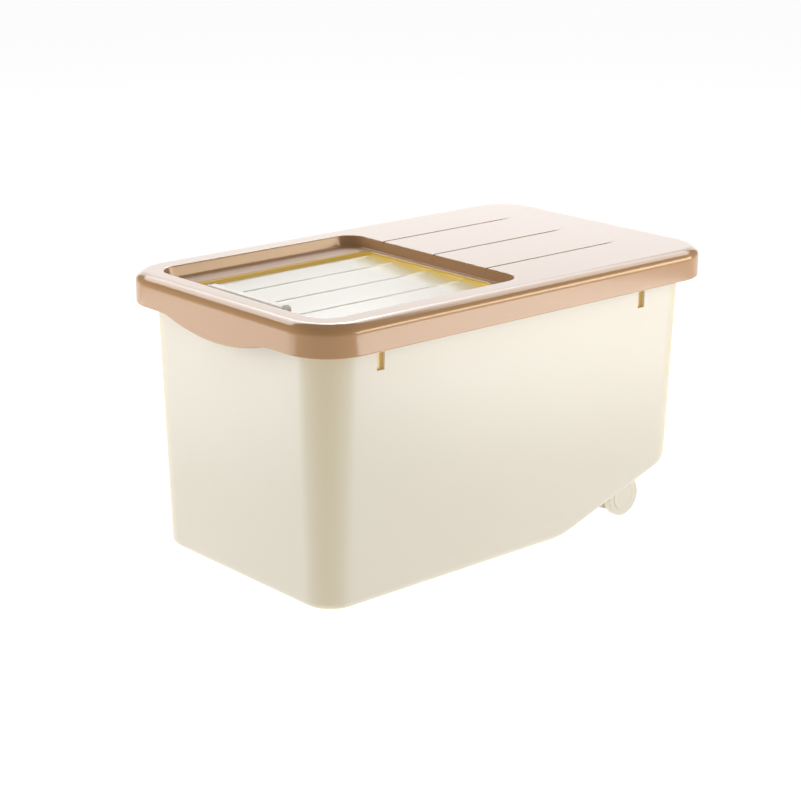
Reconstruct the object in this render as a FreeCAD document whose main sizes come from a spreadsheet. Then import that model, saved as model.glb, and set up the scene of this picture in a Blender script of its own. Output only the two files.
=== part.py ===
import FreeCAD, Part
import math
import os
import Sketcher

# Rice storage box: a tapered tub on a flat base with two wheels under its rear ramp, and a lift-off
# lid whose front half holds a sliding door.  Front is -Y, rear is +Y, +Z is up.  The origin is on the
# floor, under the middle of the lid.  Lengths are in millimetres and angles in degrees.

SIZES = {
    # Lid
    "lid_length": (400, "lid over its skirt, front to rear"),
    "lid_width": (238, "lid over its skirt, side to side"),
    "lid_height": (23, "flat top down to the skirt's lower edge"),
    "lid_corner": (36, "plan radius of the skirt"),
    "lid_wall": (2.4, "skirt and deck thickness"),
    "lid_edge_round": (8, "round between deck and skirt"),
    "lip_inset": (55, "side of the lid to the end of the pull lip"),
    "lip_drop": (9, "depth of the pull lip below the skirt"),
    "lip_blend": (40, "round where the pull lip meets the skirt"),
    # Tub
    "tub_height": (210.6, "floor to the top of the rim"),
    "overhang": (12.5, "lid skirt beyond the tub's wall at the rim"),
    "tub_draft": (1.8, "lean of the tub's walls"),
    "tub_corner": (24, "plan radius of the tub at its base"),
    "tub_wall": (2.2, "tub wall thickness"),
    "base_round": (5, "round between base and walls"),
    "ramp_length": (145, "rear end of the flat base to the rear end of the lid"),
    "ramp_angle": (18.5, "rise of the underside towards the rear"),
    "ramp_blend": (60, "round where the ramp leaves the flat base"),
    "rim_reach": (4, "rim flange beyond the wall"),
    "rim_depth": (2.2, "rim flange thickness"),
    "window_width": (7, "snap window, front to rear"),
    "window_height": (13, "snap window, up and down"),
    "window_drop": (38.6, "top of the rim down to the lower edge of a snap window"),
    "window_front": (64, "front end of the lid to the middle of the front windows"),
    "window_rear": (72, "rear end of the lid to the middle of the rear windows"),
    "tongue_width": (11, "snap tongue, front to rear"),
    "tongue_tail": (3, "snap tongue below the window's sill"),
    "tongue_gap": (0.4, "snap tongue to the tub's wall"),
    # Recess and door opening in the lid
    "recess_depth": (8.5, "recess floor below the deck"),
    "recess_side_rim": (22, "skirt to the recess, at the sides"),
    "recess_front_rim": (19, "skirt to the recess, at the front"),
    "recess_length": (190, "recess, front to rear"),
    "recess_corner": (17, "plan radius of the recess"),
    "recess_slope": (15, "lean of the recess walls"),
    "recess_floor": (2, "recess floor thickness"),
    "opening_side_ledge": (24.5, "opening to the recess's edge, at the sides"),
    "opening_front_ledge": (7, "opening to the recess's front edge"),
    "opening_rear_ledge": (6, "opening to the recess's rear edge"),
    "opening_corner": (9, "plan radius of the opening"),
    "groove_inset": (38.6, "outer deck grooves to the recess's side"),
    "groove_width": (2, "deck groove width"),
    "groove_depth": (1, "deck groove depth"),
    "groove_end": (55, "deck grooves to the rear end of the lid"),
    # Sliding door
    "field_gap": (5, "planked field of the door to the opening's side"),
    "edge_plank": (29.1, "outermost plank, side to side"),
    "plank_fall": (2.6, "how far an inner plank falls across its width"),
    "ridge_width": (1.4, "bevel along the high edge of a plank"),
    "ridge_height": (1, "depth of that bevel"),
    "door_wall": (2, "least thickness of the door"),
    "door_headroom": (0.6, "door below the recess floor"),
    "runner_reach": (12.5, "door runner beyond the planked field"),
    "runner_drop": (5, "recess floor down to the runner"),
    "front_tuck": (3, "door under the front edge of the opening"),
    "rear_tuck": (9, "door under the rear edge of the opening"),
    "grip_inset": (22.5, "end of the grip bar to the side of the planked field"),
    "grip_depth": (7.5, "grip bar, front to rear"),
    "grip_height": (6, "grip bar above the recess floor"),
    "grip_gap": (1.5, "grip bar to the front edge of the opening"),
    "grip_round": (2, "round on the grip bar"),
    # Rails under the lid
    "rail_wall": (2.2, "rail thickness"),
    "rail_cover": (1.5, "opening's edge to the rail's inner edge"),
    "rail_end": (28, "rail to the rear end of the lid"),
    "rail_seat": (8.4, "rail flange beyond its web"),
    "rail_lead": (1, "rail in front of the door"),
    "door_side_gap": (0.6, "runner to the rail's web"),
    "door_slip": (0.2, "runner to the rail's lips"),
    "stake_diameter": (3, "heat stake shank"),
    "stake_head": (5.4, "heat stake head"),
    "stake_head_height": (1.2, "heat stake head thickness"),
    "stake_slip": (0.1, "stake to rail, on the radius"),
    "boss_diameter": (8, "boss that carries a stake under the deck"),
    # Wheels
    "axle_inset": (72.5, "axle to the rear end of the lid"),
    "axle_diameter": (5, "axle"),
    "axle_slip": (0.05, "axle to its bracket, on the radius"),
    "wheel_fit": (0.02, "axle to the wheel, on the radius"),
    "wheel_radius": (16.5, "wheel, and height of the axle"),
    "wheel_width": (7, "wheel tread"),
    "wheel_edge": (1, "bevel of the tread"),
    "wheel_inset": (3.9, "outer face of a wheel to the side of the tub at its base"),
    "well_gap": (1.5, "wheel to its well"),
    "cap_radius": (11.5, "hub cap"),
    "cap_depth": (1.6, "hub cap inside the wheel"),
    "cap_proud": (0.4, "hub cap beyond the wheel"),
    "bracket_width": (12, "axle bracket, along the axle"),
    "bracket_gap": (3.5, "axle bracket to the wheel"),
    "bracket_radius": (14.2, "axle bracket round the axle"),
    "bracket_front": (34, "axle to the bracket's front root"),
    "bracket_rear": (16, "axle to the bracket's rear root"),
}

doc = FreeCAD.newDocument("rice_storage_box")
sheet = doc.addObject("Spreadsheet::Sheet", "size")
for row, (alias, (number, note)) in enumerate(SIZES.items(), 1):
    sheet.set("A%d" % row, note)
    sheet.set("B%d" % row, str(number))
    sheet.setAlias("B%d" % row, alias)
doc.recompute()

# Places that several pieces share, as formulas of the sheet's cells
LID_TOP = "(size.tub_height + size.lid_wall)"
SKIRT_LOW = "(%s - size.lid_height)" % LID_TOP
DECK_LOW = "size.tub_height"
FLOOR_TOP = "(%s - size.recess_depth)" % LID_TOP
FLOOR_LOW = "(%s - size.recess_floor)" % FLOOR_TOP
HALF_LENGTH = "(size.lid_length / 2)"
HALF_WIDTH = "(size.lid_width / 2)"
RIM_SIDE = "(%s - size.overhang)" % HALF_WIDTH
RIM_END = "(%s - size.overhang)" % HALF_LENGTH
TUB_LEAN = "size.tub_height * tan(size.tub_draft)"
BASE_SIDE = "(%s - %s)" % (RIM_SIDE, TUB_LEAN)
BASE_END = "(%s - %s)" % (RIM_END, TUB_LEAN)
RIM_CORNER = "(size.tub_corner + %s)" % TUB_LEAN
RECESS_SIDE = "(%s - size.recess_side_rim)" % HALF_WIDTH
RECESS_FRONT = "(size.recess_front_rim - %s)" % HALF_LENGTH
RECESS_REAR = "(%s + size.recess_length)" % RECESS_FRONT
OPENING_REAR = "(%s - size.opening_rear_ledge)" % RECESS_REAR
OPENING_FRONT = "(%s + size.opening_front_ledge)" % RECESS_FRONT
OPENING_SIDE = "(%s - size.opening_side_ledge)" % RECESS_SIDE
FIELD_SIDE = "(%s - size.field_gap)" % OPENING_SIDE
PLANK_WIDTH = "(%s - size.edge_plank)" % FIELD_SIDE
RUNNER_SIDE = "(%s + size.runner_reach)" % FIELD_SIDE
PLANK_HIGH = "(%s - size.door_headroom)" % FLOOR_LOW
PLANK_FOOT = "(%s - size.ridge_height)" % PLANK_HIGH
RUNNER_HIGH = "(%s - size.runner_drop)" % FLOOR_LOW
RUNNER_LOW = "(%s - size.door_wall)" % RUNNER_HIGH
DOOR_FRONT = "(%s - size.front_tuck)" % OPENING_FRONT
DOOR_REAR = "(%s + size.rear_tuck)" % OPENING_REAR
RAIL_FRONT = "(%s - size.rail_lead)" % DOOR_FRONT
RAIL_REAR = "(%s - size.rail_end)" % HALF_LENGTH
RAIL_WEB = "(%s + size.door_side_gap)" % RUNNER_SIDE
STAKE_SIDE = "(%s + size.rail_wall + size.rail_seat / 2)" % RAIL_WEB
RAMP_START = "(%s - size.ramp_length)" % HALF_LENGTH
WINDOW_SILL = "(size.tub_height - size.window_drop)"
WINDOW_MIDDLES = ("(size.window_front - %s)" % HALF_LENGTH, "(%s - size.window_rear)" % HALF_LENGTH)
LIP_HALF = "(%s - size.lip_inset)" % HALF_WIDTH
AXLE_REAR = "(%s - size.axle_inset)" % HALF_LENGTH
WHEEL_FACE = "(%s - size.wheel_inset)" % BASE_SIDE
WHEEL_BACK = "(%s - size.wheel_width)" % WHEEL_FACE
BRACKET_FACE = "(%s - size.bracket_gap)" % WHEEL_BACK
WELL_RADIUS = "(size.wheel_radius + size.well_gap)"
WELL_BACK = "(%s - size.well_gap)" % WHEEL_BACK
WELL_FACE = "(%s + size.well_gap)" % WHEEL_FACE
AXLE_RADIUS = "(size.axle_diameter / 2)"
STAKES_EACH_HALF = 3


def value(formula):
    """Number that a formula of the sheet's cells comes to."""
    result = sheet.evalExpression(str(formula))
    return float(getattr(result, "Value", result))


def minus(formula):
    return "-(%s)" % formula


def new_body(label):
    body = doc.addObject("PartDesign::Body", label)
    body.Label = label
    return body


def sketch_on(body, role, lift="0"):
    """Empty sketch on one of the body's own planes, lifted along the plane's normal."""
    plane = next(feature for feature in body.Origin.OriginFeatures if feature.Role == role)
    sketch = body.newObject("Sketcher::SketchObject", body.Label + "_sketch")
    sketch.AttachmentSupport = [(plane, "")]
    sketch.MapMode = "FlatFace"
    sketch.setExpression("AttachmentOffset.Base.z", lift)
    return sketch


def bind(sketch, formula, kind, *where):
    """Add a measured constraint that follows a formula of the sheet."""
    index = sketch.addConstraint(Sketcher.Constraint(kind, *where, value(formula)))
    sketch.setExpression("Constraints[%d]" % index, formula)


def place_point(sketch, geometry, point, across, up):
    bind(sketch, across, "DistanceX", -1, 1, geometry, point)
    bind(sketch, up, "DistanceY", -1, 1, geometry, point)


def draw_polygon(sketch, corners):
    """Closed outline through corners, each a pair of formulas."""
    points = [FreeCAD.Vector(value(across), value(up), 0) for across, up in corners]
    first = sketch.GeometryCount
    count = len(points)
    for index in range(count):
        sketch.addGeometry(Part.LineSegment(points[index], points[(index + 1) % count]), False)
    for index in range(count):
        following = first + (index + 1) % count
        sketch.addConstraint(Sketcher.Constraint("Coincident", first + index, 2, following, 1))
    for index, (across, up) in enumerate(corners):
        place_point(sketch, first + index, 1, across, up)


def draw_rectangle(sketch, left, right, low, high):
    draw_polygon(sketch, [(left, low), (right, low), (right, high), (left, high)])


def draw_rounded_rectangle(sketch, side, front, rear, corner):
    """Outline with sides at plus and minus side, ends at front and rear, and equal corner arcs."""
    half, low, high, radius = value(side), value(front), value(rear), value(corner)
    inner = half - radius
    near, far = low + radius, high - radius
    first = sketch.GeometryCount
    runs = [
        ((-inner, low), (inner, low), (inner, near), 270),
        ((half, near), (half, far), (inner, far), 0),
        ((inner, high), (-inner, high), (-inner, far), 90),
        ((-half, far), (-half, near), (-inner, near), 180),
    ]
    for start, end, centre, angle in runs:
        sketch.addGeometry(Part.LineSegment(FreeCAD.Vector(*start), FreeCAD.Vector(*end)), False)
        circle = Part.Circle(FreeCAD.Vector(*centre), FreeCAD.Vector(0, 0, 1), radius)
        arc = Part.ArcOfCircle(circle, math.radians(angle), math.radians(angle + 90))
        sketch.addGeometry(arc, False)
    for index in range(8):
        following = first + (index + 1) % 8
        sketch.addConstraint(Sketcher.Constraint("Tangent", first + index, 2, following, 1))
    for index in (0, 4):
        sketch.addConstraint(Sketcher.Constraint("Horizontal", first + index))
    for index in (2, 6):
        sketch.addConstraint(Sketcher.Constraint("Vertical", first + index))
    for index in (3, 5, 7):
        sketch.addConstraint(Sketcher.Constraint("Equal", first + 1, first + index))
    bind(sketch, corner, "Radius", first + 1)
    bind(sketch, side, "DistanceX", -1, 1, first + 2, 1)
    bind(sketch, minus(side), "DistanceX", -1, 1, first + 6, 1)
    bind(sketch, front, "DistanceY", -1, 1, first, 1)
    bind(sketch, rear, "DistanceY", -1, 1, first + 4, 1)


def draw_circle(sketch, across, up, radius):
    centre = FreeCAD.Vector(value(across), value(up), 0)
    circle = Part.Circle(centre, FreeCAD.Vector(0, 0, 1), value(radius))
    index = sketch.addGeometry(circle, False)
    bind(sketch, radius, "Radius", index)
    place_point(sketch, index, 3, across, up)


def extrude(body, kind, sketch, length, reverse=False, symmetric=False, taper=None):
    """Pad or Pocket of a sketch; it stops if it neither adds nor removes material."""
    before = body.Shape.Volume if body.Tip else 0.0
    feature = body.newObject("PartDesign::" + kind, body.Label + "_" + kind.lower())
    feature.Profile = sketch
    feature.setExpression("Length", length)
    feature.Reversed = reverse
    if symmetric:
        feature.SideType = "Symmetric"
    if taper:
        feature.setExpression("TaperAngle", taper)
    doc.recompute()
    gained = feature.Shape.Volume - before
    if gained * (1 if kind == "Pad" else -1) < 1e-3:
        raise RuntimeError("%s changes nothing" % feature.Label)
    return feature


def round_edges(body, radius, chosen):
    """Fillet the edges of the body's last shape for which chosen is true."""
    last = body.Tip
    names = ["Edge%d" % index for index, edge in enumerate(last.Shape.Edges, 1) if chosen(edge)]
    if not names:
        raise RuntimeError("%s has no such edge to round" % body.Label)
    feature = body.newObject("PartDesign::Fillet", body.Label + "_round")
    feature.Base = (last, names)
    feature.setExpression("Radius", radius)
    doc.recompute()
    return feature


def hollow(body, wall, chosen):
    """Turn the body into a shell of one wall thickness, open at the chosen face."""
    last = body.Tip
    names = ["Face%d" % index for index, face in enumerate(last.Shape.Faces, 1) if chosen(face)]
    feature = body.newObject("PartDesign::Thickness", body.Label + "_shell")
    feature.Base = (last, names)
    feature.setExpression("Value", wall)
    feature.Reversed = True
    feature.Mode = "Skin"
    feature.Join = "Intersection"
    doc.recompute()
    return feature


def lies_flat_at(face, height):
    box = face.BoundBox
    return box.ZLength < 1e-4 and abs(box.ZMin - height) < 1e-4


def ramp_height(rear, inset="0"):
    """Formula of the ramp, or of a face inset from it, at a place given as a formula."""
    return "((%s - %s) * tan(size.ramp_angle) + %s / cos(size.ramp_angle))" % (rear, RAMP_START, inset)


def build_block(label, inset):
    """Solid of the tub's outline, set in by a formula, with its ramp and rounded underside."""
    block = new_body(label)
    shrink = "%s * (tan(size.tub_draft) - 1 / cos(size.tub_draft))" % inset
    side, end = "(%s + %s)" % (BASE_SIDE, shrink), "(%s + %s)" % (BASE_END, shrink)
    base = sketch_on(block, "XY_Plane", inset)
    draw_rounded_rectangle(base, side, minus(end), end, "size.tub_corner + " + shrink)
    extrude(block, "Pad", base, "size.tub_height", taper="size.tub_draft")

    bend = "(%s + %s * (1 - 1 / cos(size.ramp_angle)) / tan(size.ramp_angle))" % (RAMP_START, inset)
    ramp = sketch_on(block, "YZ_Plane")
    ramp_end = "(size.lid_length)"
    draw_polygon(ramp, [
        (bend, inset),
        (ramp_end, ramp_height(ramp_end, inset)),
        (ramp_end, inset),
    ])
    extrude(block, "Pocket", ramp, "size.lid_width", symmetric=True)

    start, low = value(bend), value(inset)
    round_edges(block, "size.ramp_blend - " + inset, lambda edge: all(
        abs(vertex.Y - start) < 1e-3 and abs(vertex.Z - low) < 1e-3 for vertex in edge.Vertexes))
    slope = math.tan(math.radians(value("size.ramp_angle")))
    blend = value("size.ramp_blend") * math.tan(math.radians(value("size.ramp_angle") / 2))

    def is_under_edge(edge):
        """True on the rim of the underside: the flat base, the ramp and the round between them."""
        middle = edge.valueAt((edge.FirstParameter + edge.LastParameter) / 2)
        under = low + max(0.0, (middle.y - start) * slope)
        inside = abs(middle.x) < value(side) - 1 and abs(middle.y - start) < blend + 1
        return abs(middle.z - under) < 1.5 and not inside

    round_edges(block, "size.base_round - " + inset, is_under_edge)
    return block


def build_tub():
    """Tapered shell with a ramped underside, a rim, snap windows and the two axle brackets."""
    tub = build_block("tub", "0")
    cavity = build_block("tub_cavity", "size.tub_wall")
    for mirrored in (False, True):
        add_wheel_arch(cavity, mirrored)
    emptied = tub.newObject("PartDesign::Boolean", "tub_emptied")
    emptied.Type = "Cut"
    emptied.setObjects([cavity])
    doc.recompute()

    flange = sketch_on(tub, "XY_Plane", "size.tub_height")
    rim_out = [formula + " + size.rim_reach" for formula in (RIM_SIDE, RIM_END, RIM_CORNER)]
    rim_in = [formula + " - size.tub_wall / 2" for formula in (RIM_SIDE, RIM_END, RIM_CORNER)]
    for side, end, corner in (rim_out, rim_in):
        draw_rounded_rectangle(flange, side, minus(end), end, corner)
    extrude(tub, "Pad", flange, "size.rim_depth", reverse=True)

    windows = sketch_on(tub, "YZ_Plane")
    for middle in WINDOW_MIDDLES:
        draw_rectangle(windows, middle + " - size.window_width / 2", middle + " + size.window_width / 2",
                       WINDOW_SILL, WINDOW_SILL + " + size.window_height")
    extrude(tub, "Pocket", windows, "size.lid_width", symmetric=True)

    for mirrored in (False, True):
        add_wheel_mount(tub, mirrored)

    hole = sketch_on(tub, "YZ_Plane")
    draw_circle(hole, AXLE_REAR, "size.wheel_radius", AXLE_RADIUS + " + size.axle_slip")
    extrude(tub, "Pocket", hole, "2 * " + WHEEL_FACE, symmetric=True)
    return tub


def add_wheel_arch(cavity, mirrored):
    """Notch in the cavity that leaves the tub's wall standing round a wheel well."""
    arch_back = "(%s - size.tub_wall)" % WELL_BACK
    arch = sketch_on(cavity, "YZ_Plane", ("-" if mirrored else "") + arch_back)
    draw_circle(arch, AXLE_REAR, "size.wheel_radius", WELL_RADIUS + " + size.tub_wall")
    extrude(cavity, "Pocket", arch, HALF_WIDTH, reverse=not mirrored)


def add_wheel_mount(tub, mirrored):
    """Well that clears the wheel, and the bracket inboard of it that carries the axle."""
    sign = "-" if mirrored else ""
    bracket = sketch_on(tub, "YZ_Plane", "%s(%s - size.bracket_width)" % (sign, BRACKET_FACE))
    front = "(%s - size.bracket_front)" % AXLE_REAR
    rear = "(%s + size.bracket_rear)" % AXLE_REAR
    root = " + size.tub_wall / 2"
    draw_bracket(bracket, (front, ramp_height(front) + root), (rear, ramp_height(rear) + root))
    extrude(tub, "Pad", bracket, "size.bracket_width", reverse=mirrored)

    well = sketch_on(tub, "YZ_Plane", sign + WELL_BACK)
    draw_circle(well, AXLE_REAR, "size.wheel_radius", WELL_RADIUS)
    extrude(tub, "Pocket", well, "(%s - %s)" % (WELL_FACE, WELL_BACK), reverse=not mirrored)


def draw_bracket(sketch, front_root, rear_root):
    """Teardrop: an arc round the axle, joined by tangent lines to two roots on the ramp."""
    centre = FreeCAD.Vector(value(AXLE_REAR), value("size.wheel_radius"), 0)
    radius = value("size.bracket_radius")
    roots = [FreeCAD.Vector(value(across), value(up), 0) for across, up in (front_root, rear_root)]
    angles = []
    for root, side in zip(roots, (1, -1)):
        toward = root - centre
        spread = math.acos(min(1.0, radius / toward.Length))
        angles.append(math.atan2(toward.y, toward.x) % (2 * math.pi) + side * spread)
    start, end = angles[0], angles[1]
    if end < start:
        end += 2 * math.pi
    circle = Part.Circle(centre, FreeCAD.Vector(0, 0, 1), radius)
    arc = sketch.addGeometry(Part.ArcOfCircle(circle, start, end), False)
    front = sketch.addGeometry(Part.LineSegment(roots[0], circle.value(start)), False)
    rear = sketch.addGeometry(Part.LineSegment(circle.value(end), roots[1]), False)
    top = sketch.addGeometry(Part.LineSegment(roots[1], roots[0]), False)
    sketch.addConstraint(Sketcher.Constraint("Tangent", front, 2, arc, 1))
    sketch.addConstraint(Sketcher.Constraint("Tangent", arc, 2, rear, 1))
    sketch.addConstraint(Sketcher.Constraint("Coincident", rear, 2, top, 1))
    sketch.addConstraint(Sketcher.Constraint("Coincident", top, 2, front, 1))
    place_point(sketch, arc, 3, AXLE_REAR, "size.wheel_radius")
    bind(sketch, "size.bracket_radius", "Radius", arc)
    place_point(sketch, front, 1, *front_root)
    place_point(sketch, rear, 2, *rear_root)


def stake_places():
    """Formulas of the stakes' places along the rails: one row under the recess, one under the deck."""
    places = []
    for end in (RAIL_FRONT, RAIL_REAR):
        for step in range(STAKES_EACH_HALF):
            share = (step + 0.5) / STAKES_EACH_HALF
            places.append("(%s + (%s - %s) * %f)" % (RECESS_REAR, end, RECESS_REAR, share))
    return places


def build_lid():
    """Skirted cover with a recess and door opening in front, a grooved deck behind and a pull lip."""
    lid = new_body("lid_frame")
    outline = sketch_on(lid, "XY_Plane", SKIRT_LOW)
    draw_rounded_rectangle(outline, HALF_WIDTH, minus(HALF_LENGTH), HALF_LENGTH, "size.lid_corner")
    extrude(lid, "Pad", outline, "size.lid_height")
    top = value(LID_TOP)
    round_edges(lid, "size.lid_edge_round", lambda edge: all(
        abs(vertex.Z - top) < 1e-3 for vertex in edge.Vertexes))
    hollow(lid, "size.lid_wall", lambda face: lies_flat_at(face, value(SKIRT_LOW)))

    tray = sketch_on(lid, "XY_Plane", FLOOR_LOW)
    draw_rounded_rectangle(tray, RECESS_SIDE + " + size.lid_wall", RECESS_FRONT + " - size.lid_wall",
                           RECESS_REAR + " + size.lid_wall", "size.recess_corner + size.lid_wall")
    extrude(lid, "Pad", tray, "%s - %s - size.lid_wall / 2" % (LID_TOP, FLOOR_LOW))

    recess = sketch_on(lid, "XY_Plane", LID_TOP)
    draw_rounded_rectangle(recess, RECESS_SIDE, RECESS_FRONT, RECESS_REAR, "size.recess_corner")
    extrude(lid, "Pocket", recess, "size.recess_depth", taper="-size.recess_slope")

    opening = sketch_on(lid, "XY_Plane", FLOOR_TOP)
    draw_rounded_rectangle(opening, OPENING_SIDE, OPENING_FRONT, OPENING_REAR, "size.opening_corner")
    extrude(lid, "Pocket", opening, "size.recess_floor")

    grooves = sketch_on(lid, "XY_Plane", LID_TOP)
    groove_side = "(%s - size.groove_inset)" % RECESS_SIDE
    for middle in (minus(groove_side), "0", groove_side):
        draw_rectangle(grooves, middle + " - size.groove_width / 2", middle + " + size.groove_width / 2",
                       RECESS_REAR, HALF_LENGTH + " - size.groove_end")
    extrude(lid, "Pocket", grooves, "size.groove_depth")

    add_pull_lip(lid)
    add_snap_tongues(lid)
    add_stakes(lid)
    return lid


def add_pull_lip(lid):
    """Apron under the front skirt: one wide arc, led into the skirt's edge by a small arc at each end."""
    lip = sketch_on(lid, "XZ_Plane", "%s - size.lid_wall" % HALF_LENGTH)
    root = "(%s + size.lid_wall)" % SKIRT_LOW
    both_radii = "(%s ^ 2 + size.lip_drop ^ 2) / (2 * size.lip_drop)" % LIP_HALF
    half, drop, blend = value(LIP_HALF), value("size.lip_drop"), value("size.lip_blend")
    low, high, reach = value(SKIRT_LOW), value(root), value(both_radii)
    turn = math.asin(half / reach)
    up = FreeCAD.Vector(0, 0, 1)

    def add_arc(across, height, radius, start, end):
        circle = Part.Circle(FreeCAD.Vector(across, height, 0), up, radius)
        return lip.addGeometry(Part.ArcOfCircle(circle, start, end), False)

    below, above = 1.5 * math.pi, 0.5 * math.pi
    wide = add_arc(0, low - drop + reach - blend, reach - blend, below - turn, below + turn)
    left = add_arc(-half, low - blend, blend, above - turn, above)
    right = add_arc(half, low - blend, blend, above, above + turn)
    corners = [FreeCAD.Vector(across, height, 0) for across, height in (
        (half, low), (half, high), (-half, high), (-half, low))]
    rise, back, fall = [
        lip.addGeometry(Part.LineSegment(*ends), False) for ends in zip(corners, corners[1:])]
    lip.addConstraint(Sketcher.Constraint("Tangent", wide, 1, left, 1))
    lip.addConstraint(Sketcher.Constraint("Tangent", wide, 2, right, 2))
    lip.addConstraint(Sketcher.Constraint("Coincident", right, 1, rise, 1))
    lip.addConstraint(Sketcher.Constraint("Coincident", rise, 2, back, 1))
    lip.addConstraint(Sketcher.Constraint("Coincident", back, 2, fall, 1))
    lip.addConstraint(Sketcher.Constraint("Coincident", fall, 2, left, 2))
    place_point(lip, right, 1, LIP_HALF, SKIRT_LOW)
    place_point(lip, left, 2, minus(LIP_HALF), SKIRT_LOW)
    place_point(lip, back, 1, LIP_HALF, root)
    place_point(lip, back, 2, minus(LIP_HALF), root)
    bind(lip, LIP_HALF, "DistanceX", -1, 1, right, 3)
    bind(lip, minus(LIP_HALF), "DistanceX", -1, 1, left, 3)
    bind(lip, "size.lip_blend", "Radius", left)
    bind(lip, "size.lip_blend", "Radius", right)
    bind(lip, both_radii + " - size.lip_blend", "Radius", wide)
    extrude(lid, "Pad", lip, "size.lid_wall")


def add_snap_tongues(lid):
    """Four tongues that stand behind the tub's snap windows, just inside its wall."""
    tail = "(%s - size.tongue_tail)" % WINDOW_SILL
    lean_in = "(size.tub_height - %s) * tan(size.tub_draft)" % tail
    wall_face = "(%s - %s - size.tub_wall / cos(size.tub_draft))" % (RIM_SIDE, lean_in)
    outer = "(%s - size.tongue_gap)" % wall_face
    inner = "(%s - size.lid_wall)" % outer
    tongues = sketch_on(lid, "XY_Plane", tail)
    for left, right in ((inner, outer), (minus(outer), minus(inner))):
        for middle in WINDOW_MIDDLES:
            draw_rectangle(tongues, left, right, middle + " - size.tongue_width / 2",
                           middle + " + size.tongue_width / 2")
    extrude(lid, "Pad", tongues, "%s + size.lid_wall / 2 - %s" % (DECK_LOW, tail))


def add_stakes(lid):
    """Bosses down from the deck, and stakes with flattened heads that hold the rails."""
    bosses = sketch_on(lid, "XY_Plane", FLOOR_LOW)
    shanks = sketch_on(lid, "XY_Plane", FLOOR_LOW)
    heads = sketch_on(lid, "XY_Plane", "%s - size.rail_wall" % FLOOR_LOW)
    for side in (STAKE_SIDE, minus(STAKE_SIDE)):
        for place in stake_places():
            if value(place) > value(RECESS_REAR):
                draw_circle(bosses, side, place, "size.boss_diameter / 2")
            draw_circle(shanks, side, place, "size.stake_diameter / 2")
            draw_circle(heads, side, place, "size.stake_head / 2")
    extrude(lid, "Pad", bosses, "%s + size.lid_wall / 2 - %s" % (DECK_LOW, FLOOR_LOW))
    extrude(lid, "Pad", shanks, "size.rail_wall", reverse=True)
    extrude(lid, "Pad", heads, "size.stake_head_height", reverse=True)


def build_door():
    """Planked tray with a runner on each side, a wall across each end and a grip bar in front."""
    door = new_body("sliding_door")
    plate_low = "(%s - size.plank_fall - size.door_wall)" % PLANK_FOOT
    inner_side = "(%s - size.door_wall)" % FIELD_SIDE
    fall = "size.plank_fall / (%s - size.ridge_width)" % PLANK_WIDTH
    edges = [minus(FIELD_SIDE), minus(PLANK_WIDTH), "0", PLANK_WIDTH, FIELD_SIDE]
    planks = []
    for left, right in zip(edges, edges[1:]):
        foot = "(%s + size.ridge_width)" % left
        planks.append((left, PLANK_HIGH))
        planks.append((foot, PLANK_FOOT))
        planks.append((right, "%s - (%s - %s) * %s" % (PLANK_FOOT, right, foot, fall)))
    right_side = [
        (FIELD_SIDE, RUNNER_HIGH),
        (RUNNER_SIDE, RUNNER_HIGH),
        (RUNNER_SIDE, RUNNER_LOW),
        (inner_side, RUNNER_LOW),
        (inner_side, plate_low),
    ]
    left_side = [(minus(across), up) for across, up in reversed(right_side)]
    section = sketch_on(door, "XZ_Plane", minus(DOOR_FRONT))
    draw_polygon(section, planks + right_side + left_side)
    extrude(door, "Pad", section, "%s - %s" % (DOOR_REAR, DOOR_FRONT), reverse=True)

    ends = sketch_on(door, "XY_Plane", RUNNER_LOW)
    end_side = "(%s + size.rail_cover - size.door_side_gap)" % OPENING_SIDE
    draw_rectangle(ends, minus(end_side), end_side, DOOR_FRONT, DOOR_FRONT + " + size.door_wall")
    draw_rectangle(ends, minus(end_side), end_side, DOOR_REAR + " - size.door_wall", DOOR_REAR)
    extrude(door, "Pad", ends, "%s - %s" % (PLANK_HIGH, RUNNER_LOW))

    grip = sketch_on(door, "XY_Plane", plate_low)
    grip_front = "(%s + size.grip_gap)" % OPENING_FRONT
    grip_rear = "(%s + size.grip_depth)" % grip_front
    grip_side = "(%s - size.grip_inset)" % FIELD_SIDE
    draw_rectangle(grip, minus(grip_side), grip_side, grip_front, grip_rear)
    grip_top = "(%s + size.grip_height)" % FLOOR_TOP
    extrude(door, "Pad", grip, "%s - %s" % (grip_top, plate_low))
    top = value(grip_top)
    round_edges(door, "size.grip_round", lambda edge: all(
        abs(vertex.Z - top) < 1e-3 for vertex in edge.Vertexes))
    return door


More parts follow.
